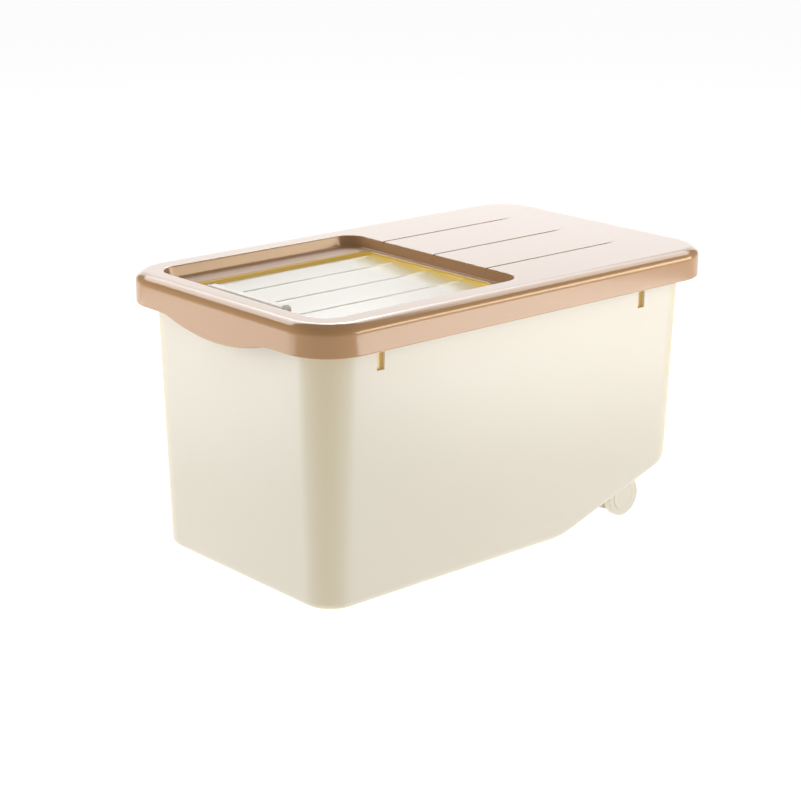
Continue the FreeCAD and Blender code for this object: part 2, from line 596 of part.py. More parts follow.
def build_rail(label, mirrored):
    """Channel that carries one runner of the door, with a flange staked under the lid."""
    rail = new_body(label)
    tip = "(%s + size.rail_cover)" % OPENING_SIDE
    web_out = "(%s + size.rail_wall)" % RAIL_WEB
    seat_out = "(%s + size.rail_seat)" % web_out
    seat_low = "(%s - size.rail_wall)" % FLOOR_LOW
    lip_low = "(%s + size.door_slip)" % RUNNER_HIGH
    shelf_top = "(%s - size.door_slip)" % RUNNER_LOW
    shelf_low = "(%s - size.rail_wall)" % shelf_top
    corners = [
        (tip, shelf_low),
        (web_out, shelf_low),
        (web_out, seat_low),
        (seat_out, seat_low),
        (seat_out, FLOOR_LOW),
        (tip, FLOOR_LOW),
        (tip, lip_low),
        (RAIL_WEB, lip_low),
        (RAIL_WEB, shelf_top),
        (tip, shelf_top),
    ]
    side = minus(STAKE_SIDE) if mirrored else STAKE_SIDE
    if mirrored:
        corners = [(minus(across), up) for across, up in corners]
    section = sketch_on(rail, "XZ_Plane", minus(RAIL_FRONT))
    draw_polygon(section, corners)
    extrude(rail, "Pad", section, "%s - %s" % (RAIL_REAR, RAIL_FRONT), reverse=True)
    holes = sketch_on(rail, "XY_Plane", FLOOR_LOW)
    for place in stake_places():
        draw_circle(holes, side, place, "size.stake_diameter / 2 + size.stake_slip")
    extrude(rail, "Pocket", holes, "size.rail_wall")
    return rail


def revolve(label, corners):
    """Body turned from an outline of places along the axle and distances from it."""
    body = new_body(label)
    section = sketch_on(body, "XZ_Plane")
    draw_polygon(section, corners)
    feature = body.newObject("PartDesign::Revolution", label + "_turn")
    feature.Profile = section
    feature.ReferenceAxis = (section, ["H_Axis"])
    feature.Angle = 360
    doc.recompute()
    return body


def put_on_axle(body, across, mirrored):
    """Move a turned body to the axle, with its outer side away from the middle."""
    body.setExpression("Placement.Base.x", minus(across) if mirrored else across)
    body.setExpression("Placement.Base.y", AXLE_REAR)
    body.setExpression("Placement.Base.z", "size.wheel_radius")
    if mirrored:
        body.Placement.Rotation = FreeCAD.Rotation(FreeCAD.Vector(0, 0, 1), 180)
    return body


def build_wheel(label, mirrored):
    """Wheel with bevelled tread edges and a seat for the hub cap in its outer face."""
    bore = AXLE_RADIUS + " + size.wheel_fit"
    shoulder = "size.wheel_radius - size.wheel_edge"
    wheel = revolve(label, [
        ("-size.wheel_width", bore),
        ("-size.wheel_width", shoulder),
        ("size.wheel_edge - size.wheel_width", "size.wheel_radius"),
        ("-size.wheel_edge", "size.wheel_radius"),
        ("0", shoulder),
        ("0", "size.cap_radius"),
        ("-size.cap_depth", "size.cap_radius"),
        ("-size.cap_depth", bore),
    ])
    return put_on_axle(wheel, WHEEL_FACE, mirrored)


def build_cap(label, mirrored):
    """Hub cap: a disc pressed into the wheel's outer face, with a bevelled rim."""
    radius = "size.cap_radius - size.wheel_fit"
    cap = revolve(label, [
        ("-size.cap_depth", "0"),
        ("-size.cap_depth", radius),
        ("0", radius),
        ("size.cap_proud", radius + " - size.cap_proud"),
        ("size.cap_proud", "0"),
    ])
    return put_on_axle(cap, WHEEL_FACE, mirrored)


def build_axle():
    """Plain rod through both brackets, ending behind the hub caps."""
    axle = doc.addObject("Part::Cylinder", "axle")
    axle.Label = "axle"
    axle.setExpression("Radius", AXLE_RADIUS)
    axle.setExpression("Height", "2 * (%s - size.cap_depth)" % WHEEL_FACE)
    axle.Placement.Rotation = FreeCAD.Rotation(FreeCAD.Vector(0, 1, 0), 90)
    axle.setExpression("Placement.Base.x", "size.cap_depth - %s" % WHEEL_FACE)
    axle.setExpression("Placement.Base.y", AXLE_REAR)
    axle.setExpression("Placement.Base.z", "size.wheel_radius")
    return axle


pieces = [build_tub(), build_lid(), build_door(), build_axle()]
for side, mirrored in (("left", True), ("right", False)):
    pieces.append(build_rail("door_rail_" + side, mirrored))
    pieces.append(build_wheel("wheel_" + side, mirrored))
    pieces.append(build_cap("wheel_cap_" + side, mirrored))
doc.recompute()

for item in doc.Objects:
    if "Invalid" in item.State or "Error" in item.State:
        raise RuntimeError("%s did not compute" % item.Label)
for piece in pieces:
    if piece.Shape.isNull() or not piece.Shape.isValid():
        raise RuntimeError("%s has no valid shape" % piece.Label)
    if len(piece.Shape.Solids) != 1:
        raise RuntimeError("%s is %d solids" % (piece.Label, len(piece.Shape.Solids)))

os.makedirs("parts", exist_ok=True)
for piece in pieces:
    piece.Shape.exportStep(os.path.join("parts", piece.Label + ".step"))
    print("%-18s %9.1f mm3" % (piece.Label, piece.Shape.Volume))
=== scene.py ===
import math

import bmesh
import bpy
import numpy as np
from bpy.props import FloatProperty, FloatVectorProperty, PointerProperty
from mathutils import Matrix, Vector


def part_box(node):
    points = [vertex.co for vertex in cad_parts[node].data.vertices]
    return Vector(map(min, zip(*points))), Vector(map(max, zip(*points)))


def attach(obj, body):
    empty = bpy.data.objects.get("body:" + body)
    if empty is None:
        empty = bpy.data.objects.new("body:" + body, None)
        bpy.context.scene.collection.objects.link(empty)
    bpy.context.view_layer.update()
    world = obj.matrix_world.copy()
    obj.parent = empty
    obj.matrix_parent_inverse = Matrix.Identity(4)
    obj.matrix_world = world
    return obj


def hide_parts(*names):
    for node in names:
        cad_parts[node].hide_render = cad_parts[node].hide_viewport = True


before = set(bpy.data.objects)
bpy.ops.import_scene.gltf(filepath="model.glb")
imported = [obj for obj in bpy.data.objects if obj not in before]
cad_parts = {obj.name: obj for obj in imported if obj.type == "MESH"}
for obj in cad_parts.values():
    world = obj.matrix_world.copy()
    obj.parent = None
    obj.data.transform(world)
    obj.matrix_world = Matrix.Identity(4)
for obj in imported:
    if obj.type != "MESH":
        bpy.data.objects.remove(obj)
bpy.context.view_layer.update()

bl_info = {
    "name": "Rice storage box",
    "version": (1, 0, 0),
    "blender": (4, 5, 0),
    "location": "View3D > Sidebar > Rice box",
    "description": "Builds the surfaces, finishes and studio of a rice storage box on its packed CAD frame",
    "category": "Object",
}

# Front is -Y, rear is +Y, +Z is up, and the origin is on the floor under the middle of the lid.  Lengths are
# in metres.  The places that the pieces share are read from the boxes of the CAD nodes.
TUB_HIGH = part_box("tub")[1]
LID_LOW, LID_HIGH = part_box("lid_frame")
DOOR_LOW, DOOR_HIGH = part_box("sliding_door")
RAIL_LOW, RAIL_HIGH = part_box("door_rail_right")
WHEEL_LOW, WHEEL_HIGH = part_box("wheel_right")
CAP_LOW, CAP_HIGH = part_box("wheel_cap_right")
AXLE = (WHEEL_LOW + WHEEL_HIGH) / 2

# Steps of an outline's corner and of a rounded edge, and how straight outward a direction on a flat side is.
CORNER_STEPS = 14
ROUND_STEPS = 5
STRAIGHT = 0.999
# Points closer than this are one point, and edges that turn by more than this angle stay sharp.
MERGE = 2e-6
SHARP = math.radians(40)
# Rounds of small moulded edges.
FINE_ROUND = 0.0004
SKIRT_ROUND = 0.0009
# Rings of the deck between the recess and the skirt, closer together where the grooves end.
DECK_SHARES = (0.02, 0.06, 0.2, 0.4, 0.55, 0.64, 0.68, 0.71, 0.73, 0.75, 0.78, 0.9)
# Points across a groove, in half widths from its middle, and the share of a half width that its side takes.
GROOVE_STEPS = (-1.15, -1.0, -0.8, -0.6, 0.0, 0.6, 0.8, 1.0, 1.15)
GROOVE_SIDE = 0.4
GROOVE_RUNOUT = 0.004
# The pull lip bends the skirt from this height over its lower edge, within this span.
LIP_TOP = 0.004
LIP_SPAN = 0.003
# Shares of the way from the snap windows down the tub's wall to the base round.
WALL_SHARES = (0.98, 0.9, 0.7, 0.4)
# Height near the wheels at which the wall's lean is taken, and how far inward the base has its next ring.
WELL_LEVEL = 0.03
BASE_RING = 0.03
# The middle line of the tub's base ends this far before the rim.
SPINE_END = 0.09
# Even points along the straight edges of lid and tub reach this far from the middle, in y and in x.
LONG_REACH = 0.15
SHORT_REACH = 0.06
# How often a height on the leaning wall is put back into itself until it settles.
SETTLE = 5
# Play between a wheel and its cap, and radius of the wheel's bore.
CAP_PLAY = 0.00002
WHEEL_BORE = 0.00252
WHITE = (1.0, 1.0, 1.0, 1.0)
BLACK = (0.0, 0.0, 0.0, 1.0)


def length(label, description, default):
    """Length in metres that a user can change."""
    return FloatProperty(name=label, description=description, default=default, min=0.0, unit="LENGTH",
                         precision=5)


def angle(label, description, degrees):
    """Angle that a user can change, kept in radians."""
    return FloatProperty(name=label, description=description, default=math.radians(degrees), subtype="ANGLE")


def tint(label, description, default):
    """Linear colour that a user can change."""
    return FloatVectorProperty(name=label, description=description, default=default, size=3, min=0.0, max=1.0,
                               subtype="COLOR")


def amount(label, description, default, high=1000.0):
    """Plain number from 0 that a user can change."""
    return FloatProperty(name=label, description=description, default=default, min=0.0, max=high)


class RiceBoxShape(bpy.types.PropertyGroup):
    """Sizes of the moulded pieces that the CAD boxes do not give."""

    lid_wall: length("Lid wall", "Thickness of the lid's skirt and deck", 0.0024)
    lid_height: length("Skirt height", "Flat top of the lid down to the skirt's lower edge", 0.023)
    lid_corner: length("Lid corner", "Radius of the lid's corners from above", 0.036)
    lid_edge: length("Lid edge round", "Round between the deck and the skirt", 0.008)
    lip_width: length("Lip width", "Chord of the pull lip", 0.128)
    lip_drop: length("Lip drop", "Depth of the pull lip under the skirt", 0.009)
    lip_blend: length("Lip blend", "Round where the pull lip meets the skirt", 0.04)
    recess_side: length("Recess side rim", "Skirt to the recess, at the sides", 0.022)
    recess_front: length("Recess front rim", "Skirt to the recess, at the front", 0.019)
    recess_length: length("Recess length", "Recess from front to rear", 0.19)
    recess_corner: length("Recess corner", "Radius of the recess from above", 0.017)
    recess_depth: length("Recess depth", "Recess floor under the deck", 0.0085)
    recess_slope: angle("Recess slope", "Lean of the recess walls", 15)
    recess_floor: length("Recess floor", "Thickness of the recess floor", 0.002)
    recess_edge: length("Recess edge round", "Round at the top and foot of the recess walls", 0.0011)
    opening_width: length("Opening width", "Door opening from side to side", 0.145)
    opening_length: length("Opening length", "Door opening from front to rear", 0.177)
    opening_ledge: length("Opening ledge", "Opening to the recess's rear edge", 0.006)
    opening_corner: length("Opening corner", "Radius of the opening from above", 0.009)
    opening_edge: length("Opening edge round", "Round along the upper edge of the opening", 0.0014)
    groove_spacing: length("Groove spacing", "Between the grooves of the deck", 0.0584)
    groove_width: length("Groove width", "Width of a deck groove", 0.002)
    groove_depth: length("Groove depth", "Depth of a deck groove", 0.001)
    groove_length: length("Groove length", "Deck groove from front to rear", 0.136)
    tub_overhang: length("Overhang", "Lid's skirt beyond the tub's wall at the rim", 0.0125)
    tub_draft: angle("Tub draft", "Lean of the tub's walls", 1.8)
    tub_corner: length("Tub corner", "Radius of the tub's corners at the base", 0.024)
    tub_wall: length("Tub wall", "Thickness of the tub", 0.0022)
    tub_round: length("Base round", "Round between the base and the walls", 0.005)
    ramp_start: length("Ramp start", "Rear end of the flat base", 0.055)
    ramp_angle: angle("Ramp angle", "Rise of the underside to the rear", 18.5)
    ramp_blend: length("Ramp blend", "Round where the ramp leaves the base", 0.06)
    rim_depth: length("Rim depth", "Thickness of the rim flange", 0.0022)
    window_width: length("Window width", "Snap window from front to rear", 0.007)
    window_height: length("Window height", "Snap window up and down", 0.013)
    window_sill: length("Window sill", "Floor to the window's lower edge", 0.172)
    window_front: length("Front window", "Middle of the front windows ahead of the origin", 0.136)
    window_rear: length("Rear window", "Middle of the rear windows behind the origin", 0.128)
    tongue_width: length("Tongue width", "Snap tongue from front to rear", 0.011)
    tongue_gap: length("Tongue gap", "Snap tongue to the tub's wall", 0.0004)
    stake_side: length("Stake row", "Rail stakes from the middle of the lid", 0.087)
    field_width: length("Planked field", "Planked part of the door from side to side", 0.135)
    plank_width: length("Plank width", "One inner plank of the door", 0.0384)
    plank_fall: length("Plank fall", "How far an inner plank falls across its width", 0.0026)
    ridge_width: length("Ridge width", "Bevel along the high edge of a plank", 0.0014)
    ridge_height: length("Ridge height", "Depth of that bevel", 0.001)
    door_headroom: length("Door headroom", "Door under the recess floor", 0.0006)
    end_wall_side: length("End wall", "End walls of the door from its middle", 0.0734)
    door_wall: length("Door wall", "Least thickness of the door", 0.002)
    rear_tuck: length("Rear tuck", "Door under the rear edge of the opening", 0.009)
    grip_width: length("Grip width", "Grip bar from side to side", 0.09)
    grip_depth: length("Grip depth", "Grip bar from front to rear", 0.0075)
    grip_setback: length("Grip setback", "Door's front edge to the grip bar", 0.0045)
    grip_round: length("Grip round", "Round on top of the grip bar", 0.002)
    well_gap: length("Well gap", "Wheel to its well", 0.0015)
    bracket_width: length("Bracket width", "Axle bracket along the axle", 0.012)
    bracket_gap: length("Bracket gap", "Axle bracket to the wheel", 0.0035)
    bracket_radius: length("Bracket radius", "Axle bracket round the axle", 0.0142)
    bracket_front: length("Bracket front", "Axle to the bracket's front root", 0.034)
    bracket_rear: length("Bracket rear", "Axle to the bracket's rear root", 0.016)
    axle_hole: length("Axle hole", "Radius of the hole in the brackets", 0.00255)


class RiceBoxFinish(bpy.types.PropertyGroup):
    """Colours and gloss of the plastics."""

    tan: tint("Tan", "Lid and rails", (0.50, 0.275, 0.12))
    tan_deep: tint("Deep tan", "Cloudy share of the tan", (0.47, 0.25, 0.105))
    tan_rough: amount("Tan roughness", "Roughness of the lid", 0.16, 1.0)
    cream: tint("Cream", "Tub, door, wheels and caps", (0.77, 0.72, 0.615))
    cream_deep: tint("Deep cream", "Cloudy share of the cream", (0.75, 0.695, 0.58))
    # Painted shade: the tub's cream turns to this darker, warmer cream round its upright corners.
    cream_corner_shade: tint("Warm cream", "Cream at the upright corners of the tub", (0.79, 0.695, 0.49))
    cream_rough: amount("Cream roughness", "Roughness of the tub", 0.36, 1.0)
    steel: tint("Steel", "Axle", (0.56, 0.56, 0.57))
    hollow: tint("Hollow", "Light that shines through the tub's wall inside it", (0.036, 0.030, 0.025))
    ledge_rough: amount("Ledge roughness", "Added roughness of the recess floor", 0.34, 1.0)
    amber: tint("Amber", "Light that shines through the lid's plastic inside it", (0.23, 0.18, 0.03))
    amber_fade: length("Amber fade", "How far the amber light reaches over the rear of the door", 0.034)


class RiceBoxStage(bpy.types.PropertyGroup):
    """Camera and lights of the studio."""

    azimuth: angle("Azimuth", "Camera round the box from its front", 48.45)
    elevation: angle("Elevation", "Camera over the horizon", 17.11)
    roll: angle("Roll", "Turn of the camera about its line of sight", 0.29)
    distance: length("Distance", "Camera from the middle of the base", 1.59977)
    aim: FloatVectorProperty(name="Aim", description="Shift of the camera along its own right and up", size=2,
                             default=(-0.0178, 0.09174), unit="LENGTH")
    lift: length("Lift", "Camera raised straight up", 0.0025)
    lens: amount("Lens", "Focal length in millimetres on a 36 mm sensor", 91.18)
    back_power: amount("Back panel", "Power of the panel behind the box", 15.6)
    left_power: amount("Left box", "Power of the soft box at the front left", 13.2)
    right_power: amount("Right box", "Power of the soft box at the rear right", 11.5)
    top_power: amount("Top box", "Power of the soft box overhead", 1.5)
    rim_power: amount("Rim strips", "Power of the strips that only the gloss of the edges shows", 24.0)
    low_right: amount("Right floor strip", "Power of the floor strip that the gloss of the side shows", 4.8)
    low_left: amount("Left floor strip", "Power of the floor strip that the gloss of the front shows", 2.0)
    warm_power: amount("Warm strip", "Power of the warm strip that the gloss of the recess shows", 13.5)
    warm_tint: tint("Warm tint", "Colour of the warm strip", (1.0, 0.83, 0.6))
    sky: amount("Sky", "Strength of the even white surroundings", 0.3, 10.0)
    floor_glow: amount("Floor glow", "Light that the floor gives off by itself", 0.8, 10.0)


def rounded_profile(corners, radii, steps=ROUND_STEPS, closed=False):
    """Polyline with rounded corners, as an array of points.

    At a corner with directions a towards the point before and b towards the point after, which enclose the
    angle t, the arc starts radius / tan(t / 2) along a, ends as far along b, and its centre lies on their
    bisector at radius / sin(t / 2).  Its points are the centre plus the radius times unit directions, blended
    by equal angles.
    """
    corners = np.asarray(corners, float)
    count = len(corners)
    points = []
    for index, (corner, radius) in enumerate(zip(corners, radii)):
        if radius <= 0 or (not closed and index in (0, count - 1)):
            points.append(corner[None])
            continue
        before = corners[index - 1] - corner
        after = corners[(index + 1) % count] - corner
        before, after = before / np.linalg.norm(before), after / np.linalg.norm(after)
        spread = math.acos(np.clip(before @ after, -1, 1))
        middle = (before + after) / np.linalg.norm(before + after)
        centre = corner + middle * radius / math.sin(spread / 2)
        start = corner + before * radius / math.tan(spread / 2) - centre
        end = corner + after * radius / math.tan(spread / 2) - centre
        turn = math.pi - spread
        share = np.linspace(0, 1, steps + 1)[:, None]
        spoke = (np.sin((1 - share) * turn) * start + np.sin(share * turn) * end) / math.sin(turn)
        points.append(centre + spoke)
    return np.concatenate(points)


class Outline:
    """Rounded rectangle from above, anticlockwise from its front edge, with outward directions.

    The straight edges carry points at the places across (in x) and along (in y), held inside the straight
    part.  Each corner is its centre plus the radius times (cos a, sin a), with a in equal steps.
    """

    def __init__(self, side, front, rear, corner, across, along, steps=CORNER_STEPS):
        inner, near, far = side - corner, front + corner, rear - corner
        across, along = np.clip(across, -inner, inner), np.clip(along, near, far)
        turn = np.linspace(0, np.pi / 2, steps + 1)[1:-1]

        def straight(x, y, out):
            points = np.stack(np.broadcast_arrays(x, y), axis=1)
            return points, np.broadcast_to(np.array(out, float), points.shape)

        def arc(x, y, start):
            out = np.stack((np.cos(start + turn), np.sin(start + turn)), axis=1)
            return np.array((x, y)) + corner * out, out

        runs = [
            straight(across, front, (0, -1)), arc(inner, near, -np.pi / 2),
            straight(side, along, (1, 0)), arc(inner, far, 0),
            straight(across[::-1], rear, (0, 1)), arc(-inner, far, np.pi / 2),
            straight(-side, along[::-1], (-1, 0)), arc(-inner, near, np.pi),
        ]
        self.points, self.out = (np.concatenate(parts) for parts in zip(*runs))

    def ring(self, offset, height):
        """Ring moved outward by offset, at a height; both are numbers or one value for each point."""
        plan = self.points + self.out * np.broadcast_to(offset, len(self.points))[:, None]
        return np.column_stack((plan, np.broadcast_to(height, len(plan))))

    def rings(self, profile):
        """One ring for each offset and height of a profile."""
        return [self.ring(offset, height) for offset, height in profile]


def spots(*runs):
    """Places along an edge of an outline, in order and each once, and one beyond either end of the edge."""
    return np.unique(np.round(np.concatenate([(-1.0, 1.0), *runs]), 6))


def blend_rings(first, second, shares):
    """Rings between two rings, each the one plus a share of the way to the other."""
    return [first + (second - first) * share for share in shares]


def grid_faces(rows, columns, wrap_rows=False, wrap_columns=True):
    """Corner numbers of the quads of a grid of points, kept as rows by columns by 4."""
    number = np.arange(rows * columns).reshape(rows, columns)
    if wrap_rows:
        number = np.vstack((number, number[:1]))
    if wrap_columns:
        number = np.hstack((number, number[:, :1]))
    return np.stack((number[:-1, :-1], number[:-1, 1:], number[1:, 1:], number[1:, :-1]), axis=-1)


def shell(rings, wrap_rows=False, wrap_columns=True):
    """Points and quads of a surface through rings of equal length."""
    faces = grid_faces(len(rings), len(rings[0]), wrap_rows, wrap_columns)
    return np.concatenate(rings), faces.reshape(-1, 4)


def turned(profile, centre=AXLE[1:], steps=96):
    """Surface turned about a line along x through a centre: distance times (cos a, sin a) at each x."""
    spin = np.linspace(0, 2 * np.pi, steps, endpoint=False)
    across, radius = np.asarray(profile).T[:, :, None]
    rings = np.stack(np.broadcast_arrays(
        across, centre[0] + radius * np.cos(spin), centre[1] + radius * np.sin(spin)), axis=-1)
    return shell(list(rings))


def swept(profile, places, end_round):
    """Section in x and z drawn along y, with its first and last rings pulled in to soften the ends.

    The pull is square to the section's own edge: at each point, the bisector of its two edge directions
    turned by a right angle.
    """
    profile = np.asarray(profile)
    edge = np.roll(profile, -1, axis=0) - np.roll(profile, 1, axis=0)
    edge /= np.linalg.norm(edge, axis=1)[:, None]
    inward = np.column_stack((edge[:, 1], -edge[:, 0]))
    area = np.sum(profile[:, 0] * np.roll(profile[:, 1], -1) - np.roll(profile[:, 0], -1) * profile[:, 1])
    inward *= -np.sign(area)
    pulls = np.zeros(len(places))
    pulls[[0, -1]] = end_round
    rings = []
    for pull, y in zip(pulls, places):
        x, z = (profile + inward * pull).T
        rings.append(np.column_stack((x, np.full(len(x), y), z)))
    return shell(rings)


def join_shells(shells):
    """Points and quads of several shells in one; corner numbers move past the points of earlier shells."""
    points, faces, first = [], [], 0
    for part_points, part_faces in shells:
        points.append(part_points)
        faces.append(part_faces + first)
        first += len(part_points)
    return np.concatenate(points), np.concatenate(faces)


def make_piece(name, shells, body, material, nodes):
    """Object from shells, with seams merged, ends filled and faces outward, in place of its CAD nodes."""
    points, faces = join_shells(shells)
    mesh = bpy.data.meshes.new(name)
    mesh.vertices.add(len(points))
    mesh.vertices.foreach_set("co", points.astype(np.float32).ravel())
    mesh.loops.add(faces.size)
    mesh.loops.foreach_set("vertex_index", faces.astype(np.int32).ravel())
    mesh.polygons.add(len(faces))
    mesh.polygons.foreach_set("loop_start", np.arange(0, faces.size, 4, dtype=np.int32))
    mesh.update(calc_edges=True)
    mesh.validate()
    work = bmesh.new()
    work.from_mesh(mesh)
    bmesh.ops.remove_doubles(work, verts=work.verts, dist=MERGE)
    bmesh.ops.dissolve_degenerate(work, edges=work.edges, dist=MERGE / 2)
    ends = bmesh.ops.holes_fill(work, edges=[edge for edge in work.edges if edge.is_boundary], sides=0)
    bmesh.ops.triangulate(work, faces=ends["faces"])
    bmesh.ops.recalc_face_normals(work, faces=work.faces)
    work.to_mesh(mesh)
    work.free()
    mesh.polygons.foreach_set("use_smooth", np.ones(len(mesh.polygons), dtype=bool))
    mesh.set_sharp_from_angle(angle=SHARP)
    mesh.materials.append(material)
    piece = bpy.data.objects.new(name, mesh)
    bpy.context.scene.collection.objects.link(piece)
    even = piece.modifiers.new("even_normals", "WEIGHTED_NORMAL")
    even.keep_sharp = True
    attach(piece, body)
    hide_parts(*nodes)


def reckoning(operation, swapped=False):
    """Method of a signal that adds a math node, with the other value second, or first when swapped."""
    def reckon(self, other=0.0):
        first, second = (other, self) if swapped else (self, other)
        return self.recipe.node("ShaderNodeMath", {"operation": operation}, {0: first, 1: second})
    return reckon


class Signal:
    """Output of a node that can be reckoned with: sums with numbers and other outputs add math nodes."""

    def __init__(self, recipe, socket):
        self.recipe, self.socket = recipe, socket

    __add__ = reckoning("ADD")
    __radd__ = reckoning("ADD", swapped=True)
    __sub__ = reckoning("SUBTRACT")
    __rsub__ = reckoning("SUBTRACT", swapped=True)
    __mul__ = reckoning("MULTIPLY")
    __gt__ = reckoning("GREATER_THAN")
    __lt__ = reckoning("LESS_THAN")
    __abs__ = reckoning("ABSOLUTE")
    root = reckoning("SQRT")
    at_least = reckoning("MAXIMUM")
    at_most = reckoning("MINIMUM")


class Recipe:
    """Material under construction."""

    def __init__(self, name):
        self.material = bpy.data.materials.new(name)
        self.material.use_nodes = True
        self.tree = self.material.node_tree
        self.tree.nodes.clear()

    def node(self, kind, settings, sockets, output=0):
        """Node of a kind with its settings, its sockets set or linked, and one of its outputs."""
        made = self.tree.nodes.new(kind)
        for key, value in settings.items():
            setattr(made, key, value)
        for key, value in sockets.items():
            if isinstance(value, Signal):
                self.tree.links.new(value.socket, made.inputs[key])
            else:
                made.inputs[key].default_value = value
        return Signal(self, made.outputs[output])

    def place(self):
        """Where a point lies on the piece, in metres."""
        return self.node("ShaderNodeTexCoord", {}, {}, "Object")

    def along(self, place, axis):
        """One of the three values of a place."""
        return self.node("ShaderNodeSeparateXYZ", {}, {"Vector": place}, axis)

    def inside(self, place, low, high):
        """1 inside an upright box between two corners, 0 outside."""
        share = 1.0
        for axis, start, end in zip("XYZ", low, high):
            along = self.along(place, axis)
            share = (along > start) * (along < end) * share
        return share

    def beyond(self, place, middle):
        """How far a point lies outside the middle of the nearest upright corner, along x and along y."""
        return [(abs(self.along(place, axis)) - start).at_least(0.0) for axis, start in zip("XY", middle)]

    def noise(self, place, scale, detail=2.0, roughness=0.5):
        """Soft noise from 0 to 1 with so many cells to the metre."""
        return self.node("ShaderNodeTexNoise", {}, {
            "Vector": place, "Scale": scale, "Detail": detail, "Roughness": roughness})

    def stretched(self, place, scale):
        """Place scaled along each axis."""
        return self.node("ShaderNodeMapping", {}, {"Vector": place, "Scale": scale})

    def mix(self, factor, first, second):
        """Colour that goes from the first to the second as the factor goes from 0 to 1."""
        return self.node("ShaderNodeMix", {"data_type": "RGBA"}, {0: factor, 6: first, 7: second}, 2)

    def finish(self, sockets):
        """Material whose surface has these sockets set or linked."""
        surface = self.node("ShaderNodeBsdfPrincipled", {}, sockets)
        end = self.tree.nodes.new("ShaderNodeOutputMaterial")
        self.tree.links.new(surface.socket, end.inputs["Surface"])
        return self.material


def moulded_plastic(name, colour, deep, rough, grain, coat=0.0, corner=None, glow=None, satin=None):
    """Injection-moulded plastic: cloudy colour, faint flow streaks in the gloss and a fine tooled grain.

    With a corner, which is a colour, a corner radius and the place of the corner's middle, the colour turns
    towards that colour round the upright corners, as a painted shade, a little darker and warmer, that stands
    in for the shading there: its share is twice dx dy over the radius squared, at most 1, where dx and dy
    are how far a point lies outside the corner's middle.  With a glow, which is a colour and a function for
    its share, the inside shines a little, as thin plastic does with light behind it.  With a satin, which is
    a roughness and the corners of a box, what lies in the box is rougher by that much.
    """
    cloud_scale, tooth_scale, flow_scale = 11.0, 1400.0, (30.0, 4.0, 30.0)
    cloud_share, flow_share, cloud_height = 0.7, 0.3, 0.02
    flow_gloss, tooth_gloss = 0.06, 0.05
    bump_strength, bump_depth = 0.25, 0.0004
    recipe = Recipe(name)
    place = recipe.place()
    cloud = recipe.noise(place, cloud_scale, detail=3.0)
    flow = recipe.noise(recipe.stretched(place, flow_scale), scale=1.0)
    tooth = recipe.noise(place, tooth_scale, roughness=0.6)
    shade = cloud * cloud_share + flow * flow_share
    height = tooth * grain + cloud * cloud_height
    bump = recipe.node("ShaderNodeBump", {}, {
        "Strength": bump_strength, "Distance": bump_depth, "Height": height})
    base = recipe.mix(shade, (*colour, 1.0), (*deep, 1.0))
    # Painted shade: the base colour turns darker and warmer round the upright corners.
    if corner:
        warm, radius, middle = corner
        beyond = recipe.beyond(place, middle)
        share = (beyond[0] * beyond[1] * (2 / radius ** 2)).at_most(1.0)
        base = recipe.mix(share, base, (*warm, 1.0))
    sockets = {}
    if glow:
        colour, lit = glow
        share = lit(recipe, place)
        sockets["Emission Color"] = recipe.mix(share, BLACK, (*colour, 1.0))
        sockets["Emission Strength"] = 1.0
    roughness = rough + (flow - 0.5) * flow_gloss + (tooth - 0.5) * tooth_gloss
    if satin:
        extra, low, high = satin
        roughness = roughness + recipe.inside(place, low, high) * extra
    return recipe.finish({
        **sockets,
        "Base Color": base,
        "Roughness": roughness,
        "Normal": bump,
        "IOR": 1.5,
        "Coat Weight": coat,
        "Coat Roughness": 0.08,
    })


def lit_box(low, high, fade=0.001):
    """Share of the glow in a box: it grows evenly over the fade from the front of the box, and is then 1."""
    def share(recipe, place):
        growth = ((recipe.along(place, "Y") - low[1]) * (1 / fade)).at_most(1.0)
        return recipe.inside(place, low, high) * growth
    return share


def lit_hollow(shape, middle):
    """Share of the glow on the tub's inner faces, which is 1 there and 0 outside and at the wheel wells.

    A point's depth is how far it lies inside the outer wall: the corner radius plus z tan(draft), less its
    distance from the corner's middle.  Its height is z over the base or over the ramp's line.  An inner face
    is deeper than half a wall and higher than the base round, or higher than half a wall and deeper than it.
    """
    def share(recipe, place):
        x, y, z = (recipe.along(place, axis) for axis in "XYZ")
        beyond = recipe.beyond(place, middle)
        distance = (beyond[0] * beyond[0] + beyond[1] * beyond[1]).root()
        depth = z * math.tan(shape.tub_draft) + shape.tub_corner - distance
        height = z - ((y - shape.ramp_start) * math.tan(shape.ramp_angle)).at_least(0.0)
        half, soft = shape.tub_wall / 2, shape.tub_round
        inner = ((depth > half) * (height > soft)).at_least((depth > soft) * (height > half))
        reach = WHEEL_HIGH.z / 2 + shape.well_gap + half
        well_side = WHEEL_LOW.x - shape.well_gap - half
        well = (abs(y - AXLE.y) < reach) * (z < AXLE.z + reach) * (abs(x) > well_side)
        return inner * (1 - well)
    return share


def drawn_steel(name, colour):
    """Drawn rod: grey metal with fine streaks along its length."""
    recipe = Recipe(name)
    place = recipe.place()
    streak_scale, stain_scale, dark_share = (12.0, 900.0, 900.0), 60.0, 0.7
    streak_share, stain_share = 0.6, 0.4
    streak = recipe.noise(recipe.stretched(place, streak_scale), scale=1.0, detail=3.0)
    stain = recipe.noise(place, stain_scale, detail=3.0)
    shade = streak * streak_share + stain * stain_share
    dark = tuple(channel * dark_share for channel in colour)
    return recipe.finish({
        "Base Color": recipe.mix(shade, (*colour, 1.0), (*dark, 1.0)),
        "Metallic": 1.0,
        "Roughness": 0.28 + streak * 0.18,
    })


